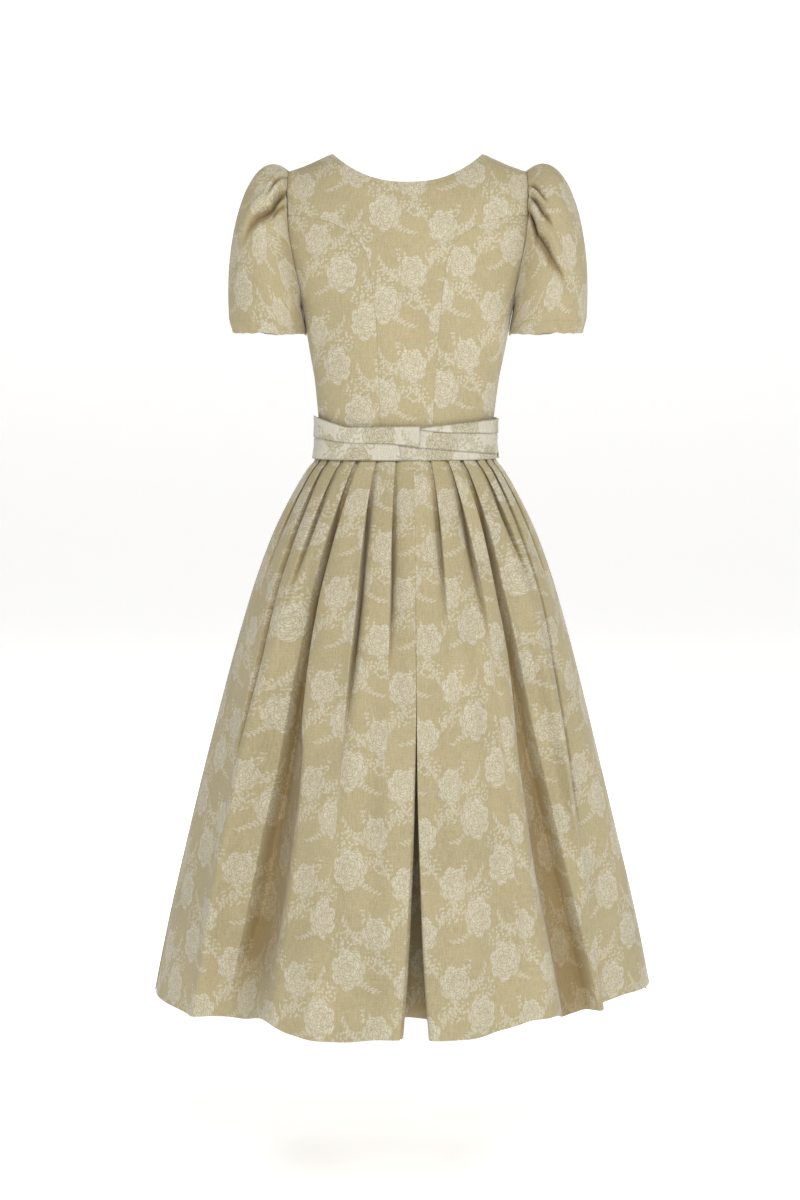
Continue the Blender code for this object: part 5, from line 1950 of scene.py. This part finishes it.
@dataclass(frozen=True)
class Jacquard:
    """A woven cloth of slubby linen with half-dropped clusters of roses and leaves.

    Attributes:
        ground: The ground's colour.
        motif: The roses' and leaves' colour.
        line: The colour of the thin lines between petals.
        filled: How fully the motifs are filled with their colour.
        lined: How strongly the lines between petals show.
    """

    ground: tuple[float, float, float]
    motif: tuple[float, float, float]
    line: tuple[float, float, float]
    filled: float
    lined: float
    ground_rough: float = 0.86
    motif_rough: float = 0.60
    # The colour of the painted shade, multiplied into the cloth where it lies deep in a fold.
    hollow_tint: tuple[float, float, float] = (0.66, 0.57, 0.43)
    stitch_length: float = 0.0042
    stitch_width: float = 0.0007
    seam_width: float = 0.0011
    # How much seams and edges are darkened: a seam line, and on the sash's edges also painted shadow of the
    # overlapping layers.
    seam_line_and_edge_shadow: float = 0.08
    outlined: float = 1.3
    cell_width: float = 0.080
    cell_height: float = 0.130
    edge: float = 0.0007
    leafy: float = 0.16
    leaf_sway: float = 0.0022
    leaf_pitch: float = 0.0058

    def _rose(
        self, paint: Paint, x: Value, y: Value, centre: Sequence[Value | float]
    ) -> tuple[Value, Value, Value]:
        """Draw a rose of scalloped petal rings.

        Args:
            paint: The material.
            x: The coordinate across, in the rose's set of clusters.
            y: The coordinate up the cloth.
            centre: The rose's x, y, half width, turn and height to its width.

        Returns:
            Its body, its thin lines and its petals' shading.
        """
        dx, dy, radius, turn, tall = centre
        px, py = x - dx, (y - dy) / tall
        sway = paint.noise(px + 0.3, py, DRAWN.rose_sway_scale, 1.0) * DRAWN.rose_sway
        theta = paint.math("ARCTAN2", py, px) + turn + sway
        rho = (px * px + py * py) ** 0.5 / radius
        rho = rho + paint.noise(px, py, DRAWN.rose_rough_scale, 2.0) * DRAWN.rose_rough
        scallop = (theta * DRAWN.scallops).sin().abs() * DRAWN.scallop_depth
        body = rho.below(scallop + (1 - DRAWN.scallop_depth), DRAWN.rose_soft)
        lines: Value | None = None
        for ring in PETAL_RINGS:
            swing = (theta * ring.count + ring.turn).sin().abs()
            gap = rho - ring.size - swing * ring.wave
            between = (gap + DRAWN.cleft_inside).abs().below(DRAWN.cleft_reach, DRAWN.cleft_end)
            between = swing.below(DRAWN.cleft, DRAWN.cleft_soft) * between
            mark = gap.abs().below(DRAWN.line, DRAWN.line_soft).max(between * DRAWN.cleft_strength)
            lines = mark if lines is None else lines.max(mark)
        shade = (rho * DRAWN.shade_rings + theta * DRAWN.shade_turn).sin() * 0.5 + 0.5
        return body, lines * body, shade * body

    def _spray(self, x: Value, y: Value, spray: Spray) -> Value:
        """Draw a bent stem with leaves along both sides.

        Args:
            x: The coordinate across, in its set of clusters.
            y: The coordinate up the cloth.
            spray: The spray.

        Returns:
            1 on the stem and the leaves, 0 elsewhere.
        """
        c, s = math.cos(math.radians(spray.heading)), math.sin(math.radians(spray.heading))
        px, py = x - spray.x, y - spray.y
        along, off = px * c + py * s, py * c - px * s
        off = (off - along * along * spray.bend).abs()
        pitch, lean = spray.leaf * DRAWN.spray_pitch, DRAWN.leaf_lean
        inside = (along - spray.length / 2).abs().below(spray.length / 2, DRAWN.spray_end)
        stem = off.below(DRAWN.stem, DRAWN.stem)
        local = along.wrap(pitch) - pitch * DRAWN.spray_begin
        a = local * math.cos(lean) + off * math.sin(lean)
        b = (off * math.cos(lean) - local * math.sin(lean)).abs()
        reach = a / spray.leaf - DRAWN.leaf_middle
        leaf = b + reach * reach * spray.leaf * DRAWN.leaf_pointed
        leaf = leaf.below(spray.leaf * DRAWN.leaf_half_width, self.edge)
        vein = b.below(DRAWN.vein, DRAWN.vein_soft) * DRAWN.vein_strength
        return (leaf * (1 - vein)).max(stem) * inside

    def _bush(self, paint: Paint, cells: Sequence[tuple[Value, Value]]) -> Value:
        """Scatter small leaves, each turned its own way, over soft-edged patches.

        Args:
            paint: The material.
            cells: The place's coordinates in each set of clusters.

        Returns:
            1 on the leaves, 0 elsewhere.
        """
        patch: Value | None = None
        for bush, (x, y) in ((bush, cell) for bush in BUSHES for cell in cells):
            c, s = math.cos(math.radians(bush.tilt)), math.sin(math.radians(bush.tilt))
            px, py = x - bush.x, y - bush.y
            a = (px * c + py * s) / bush.half_length
            b = (py * c - px * s) / bush.half_width
            one = (a * a + b * b).below(1.0, DRAWN.patch_soft)
            patch = one if patch is None else patch.max(one)
        x, y = cells[0]
        scatter = {"voronoi_dimensions": "2D", "feature": "F1"}
        made = paint.node("ShaderNodeTexVoronoi", scatter, Vector=paint.vector(x, y),
                          Scale=1 / self.leaf_pitch, Randomness=DRAWN.scatter)
        middle = paint.node("ShaderNodeSeparateXYZ", {}, in0=made.outputs["Position"])
        chance = paint.node("ShaderNodeSeparateXYZ", {}, in0=made.outputs["Color"])
        turn = Value(paint, chance.outputs[0]) * math.tau
        long = Value(paint, chance.outputs[1]) * DRAWN.scattered_range + DRAWN.scattered_least
        px, py = x - Value(paint, middle.outputs[0]), y - Value(paint, middle.outputs[1])
        c, s = paint.math("COSINE", turn), turn.sin()
        a, b = px * c + py * s, (py * c - px * s).abs()
        reach = a / (long * self.leaf_pitch)
        wide = self.leaf_pitch * DRAWN.scattered_width
        leaf = (b + reach * reach * wide).below(wide, self.edge)
        vein = b.below(DRAWN.scattered_vein, DRAWN.vein_soft) * DRAWN.scattered_vein_strength
        return leaf * (1 - vein) * patch

    def make(self, name: str) -> bpy.types.Material:
        """Build the material.

        Args:
            name: The material's name.

        Returns:
            The finished material.
        """
        paint = Paint(name)
        uv = paint.node("ShaderNodeUVMap", {"uv_map": "cloth"})
        split = paint.node("ShaderNodeSeparateXYZ", {}, in0=uv.outputs[0])
        u, v = Value(paint, split.outputs[0]), Value(paint, split.outputs[1])
        u2 = u + paint.noise(u, v, 60.0, 1.0) * 0.0011
        v2 = v + paint.noise(u + 3.7, v, 60.0, 1.0) * 0.0011
        cells = [self._cell(u2, v2), self._cell(u2 + self.cell_width, v2 + self.cell_height / 2, -1.0)]
        x, y, centre = self._nearest_rose(cells)
        body, petal_lines, petal_shade = self._rose(paint, x, y, centre)
        leaves = self._bush(paint, cells)
        sway = [paint.noise(u + shift, v, 130.0, 1.0) * self.leaf_sway for shift in (1.9, 5.1)]
        for spray, cell in ((spray, cell) for spray in SPRAYS for cell in cells):
            leaves = leaves.max(self._spray(cell[0] + sway[0], cell[1] + sway[1], spray))
        leaves = leaves * (1 - body)
        warp = paint.noise(u * 560, v * 62, 1.0, 3.0)
        fine_warp = paint.noise(u * 1000 + 5, v * 130, 1.0, 1.0)
        weft = paint.noise(u * 58 + 9, v * 560, 1.0, 3.0)
        grain = paint.noise(u * 620, v * 620, 1.0, 3.0)
        broad = paint.noise(u, v, 9.0, 2.0)
        figure = paint.clamp(body * (1 - petal_lines * 0.65) + leaves)
        worn = figure * (self.filled + (petal_shade - 0.5) * 0.24 + grain * 0.50 + fine_warp * 0.30)
        worn = paint.clamp(worn + leaves * self.leafy)
        colour = paint.blend(worn, self.ground, self.motif)
        rim = figure * (1 - figure) * self.outlined
        outlines = paint.clamp((petal_lines + rim) * (self.lined + grain * 0.25))
        colour = paint.blend(outlines, colour, self.line)
        threads = warp * 0.17 + weft * 0.10 + fine_warp * 0.10 + grain * 0.26 + broad * 0.12
        colour = paint.shade(colour, threads * (1.15 - worn * 0.35) + 1)
        dash = ((u + v) * (math.tau / self.stitch_length)).sin().below(0.25, 0.6)
        stitches = paint.mark("stitch").abs().below(self.stitch_width, self.stitch_width) * dash
        seams = paint.mark("seam").abs().below(self.seam_width, self.seam_width)
        # Seams and edges are darkened: on the dress a seam line, on the sash's edges partly painted shadow
        # where its layers overlap.
        colour = paint.shade(colour, 1 - stitches * 0.12 - seams * self.seam_line_and_edge_shadow)
        # Painted shade: the cloth is darkened and browned by the hollow mark, the more the deeper it lies in
        # a fold.
        colour = paint.blend(paint.mark("hollow"), colour, paint.tint(colour, self.hollow_tint))
        paint.put("Base Color", colour)
        paint.put("Roughness", worn * (self.motif_rough - self.ground_rough) + self.ground_rough)
        paint.put("Specular IOR Level", 0.30)
        paint.put("Sheen Weight", 0.15)
        paint.put("Sheen Roughness", 0.5)
        height = figure * 0.45 - petal_lines * 0.4 + warp * 0.6 + weft * 0.5 + grain * 0.4
        height = height - stitches - seams * 1.5
        bump = paint.node("ShaderNodeBump", {}, Strength=0.6, Distance=0.00035, Height=height)
        paint.put("Normal", bump.outputs[0])
        return paint.material

    def _cell(self, u: Value, v: Value, hand: float = 1.0) -> tuple[Value, Value]:
        """Fold the cloth into one repeat of a set of clusters, mirrored where the hand is -1."""
        wide = 2 * self.cell_width
        return (u.wrap(wide) - wide / 2) * hand, v.wrap(self.cell_height) - self.cell_height / 2

    def _nearest_rose(self, cells: Sequence[tuple[Value, Value]]) -> tuple[Value, Value, list[Value]]:
        """Find the rose nearest to each place.

        Args:
            cells: The place's coordinates in each set of clusters.

        Returns:
            The two coordinates in that rose's set, and its x, y, half width, turn and height to its width.
        """
        best: list[Value | float] | None = None
        least: Value | None = None
        for x, y in cells:
            for rose in ROSES:
                away = (x - rose.x) ** 2.0 + (y - rose.y) ** 2.0
                found = [x, y, rose.x, rose.y, rose.radius, rose.turn, rose.tall]
                if best is None:
                    best, least = found, away
                    continue
                nearer = (away - least).below(0.0, 1e-7)
                best = [nearer * (new - old) + old for new, old in zip(found, best)]
                least = least.min(away)
        return best[0], best[1], best[2:]


DRESS_CLOTH = Jacquard(
    ground=(0.452, 0.388, 0.232), motif=(0.632, 0.597, 0.480), line=(0.400, 0.345, 0.210),
    filled=0.70, lined=0.66,
)
# The sash's edges are darkened strongly, partly as painted shadow of its overlapping layers.
SASH_CLOTH = Jacquard(
    ground=(0.610, 0.575, 0.475), motif=(0.485, 0.435, 0.300), line=(0.345, 0.310, 0.195),
    filled=0.60, lined=0.70, seam_line_and_edge_shadow=0.30, outlined=3.0,
)


# ---------------------------------------------------------------- stage
@dataclass(frozen=True)
class Light:
    """A square light: its place, its width in metres, its power in watts and its colour."""

    name: str
    place: tuple[float, float, float]
    size: float
    power: float
    colour: tuple[float, float, float]


LIGHTS: tuple[Light, ...] = (
    Light("top_front", (0.4, -3.5, 1.8), 1.7, 98.0, (1.0, 0.988, 0.965)),
    Light("side_right", (3.3, -1.5, 0.6), 1.6, 18.0, (1.0, 0.98, 0.94)),
    Light("side_left", (-3.3, -1.5, 0.6), 1.6, 12.0, (1.0, 0.98, 0.94)),
    Light("front_key", (0.5, 4.0, 2.0), 2.0, 90.0, (1.0, 1.0, 1.0)),
)


@dataclass
class Studio:
    """The pale floor and backdrop, soft light and the camera at the photograph's view."""

    eye: tuple[float, float, float] = (-0.0107, -4.0, -0.27)
    lens: float = 84.5
    sensor: float = 36.0
    shift_y: float = -0.2130
    floor_z: float = -1.42
    half_width: float = 8.0
    near_y: float = -8.0
    far_y: float = 6.5
    sweep: float = 1.6
    height: float = 6.0
    bend_steps: int = 24
    paper_glow: float = 0.50
    aim: tuple[float, float, float] = (0.0, 0.0, -0.6)
    sky: tuple[float, float, float, float] = (1.0, 0.975, 0.93, 1.0)
    sky_strength: float = 0.23

    def camera(self) -> None:
        """Place the camera behind the dress, level, at the photograph's height."""
        data = bpy.data.cameras.new("camera")
        data.lens, data.sensor_width, data.sensor_fit = self.lens, self.sensor, "AUTO"
        data.shift_y = self.shift_y
        camera = bpy.data.objects.new("camera", data)
        camera.location = self.eye
        camera.rotation_euler = (math.pi / 2, 0.0, 0.0)
        bpy.context.scene.collection.objects.link(camera)
        bpy.context.scene.camera = camera

    def backdrop(self) -> None:
        """Sweep a pale floor up into a wall."""
        turns = np.linspace(0, math.pi / 2, self.bend_steps)
        bend = self.far_y + self.sweep * np.sin(turns), self.floor_z + self.sweep * (1 - np.cos(turns))
        top = self.far_y + self.sweep, self.floor_z + self.height
        line = [(self.near_y, self.floor_z), *zip(*bend), top]
        bpy.ops.object.select_all(action="DESELECT")
        bpy.ops.mesh.primitive_grid_add(x_subdivisions=1, y_subdivisions=len(line) - 1, size=1)
        floor = bpy.context.object
        floor.name = "backdrop"
        points = [(x, y, z) for y, z in line for x in (-self.half_width, self.half_width)]
        floor.data.vertices.foreach_set("co", np.array(points, np.float32).ravel())
        floor.data.update()
        bpy.ops.object.shade_smooth()
        paint = Paint("pale_paper")
        paint.put("Base Color", (0.93, 0.93, 0.93, 1.0))
        paint.put("Roughness", 0.9)
        paint.put("Emission Color", (1.0, 1.0, 1.0, 1.0))
        paint.put("Emission Strength", self.paper_glow)
        floor.data.materials.append(paint.material)

    def light(self, item: Light) -> None:
        """Add a soft square light that looks at the dress.

        Args:
            item: The light.
        """
        data = bpy.data.lights.new(item.name, "AREA")
        data.shape, data.size, data.energy, data.color = "SQUARE", item.size, item.power, item.colour
        lamp = bpy.data.objects.new(item.name, data)
        lamp.location = item.place
        lamp.rotation_euler = (Vector(self.aim) - Vector(item.place)).to_track_quat("-Z", "Y").to_euler()
        bpy.context.scene.collection.objects.link(lamp)

    def build(self) -> None:
        """Set up the whole studio."""
        self.camera()
        self.backdrop()
        for item in LIGHTS:
            self.light(item)
        world = bpy.data.worlds.new("studio")
        world.use_nodes = True
        world.node_tree.nodes["Background"].inputs[0].default_value = self.sky
        world.node_tree.nodes["Background"].inputs[1].default_value = self.sky_strength
        bpy.context.scene.world = world
        bpy.context.scene.view_settings.view_transform = "Standard"


def main() -> None:
    """Build the dress piece by piece, dress it in its cloths and light it."""
    logging.basicConfig(level=logging.INFO, format="%(name)s %(message)s")
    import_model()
    dress = DRESS_CLOTH.make("dress_jacquard")
    sash = SASH_CLOTH.make("sash_jacquard")
    for maker in (Bodice(), Sleeves(), Skirt()):
        for piece in maker.pieces():
            piece.build(dress, "dress_linen")
    for piece in Sash().pieces():
        piece.build(sash, "sash_linen")
    Studio().build()


if __name__ == "__main__":
    main()
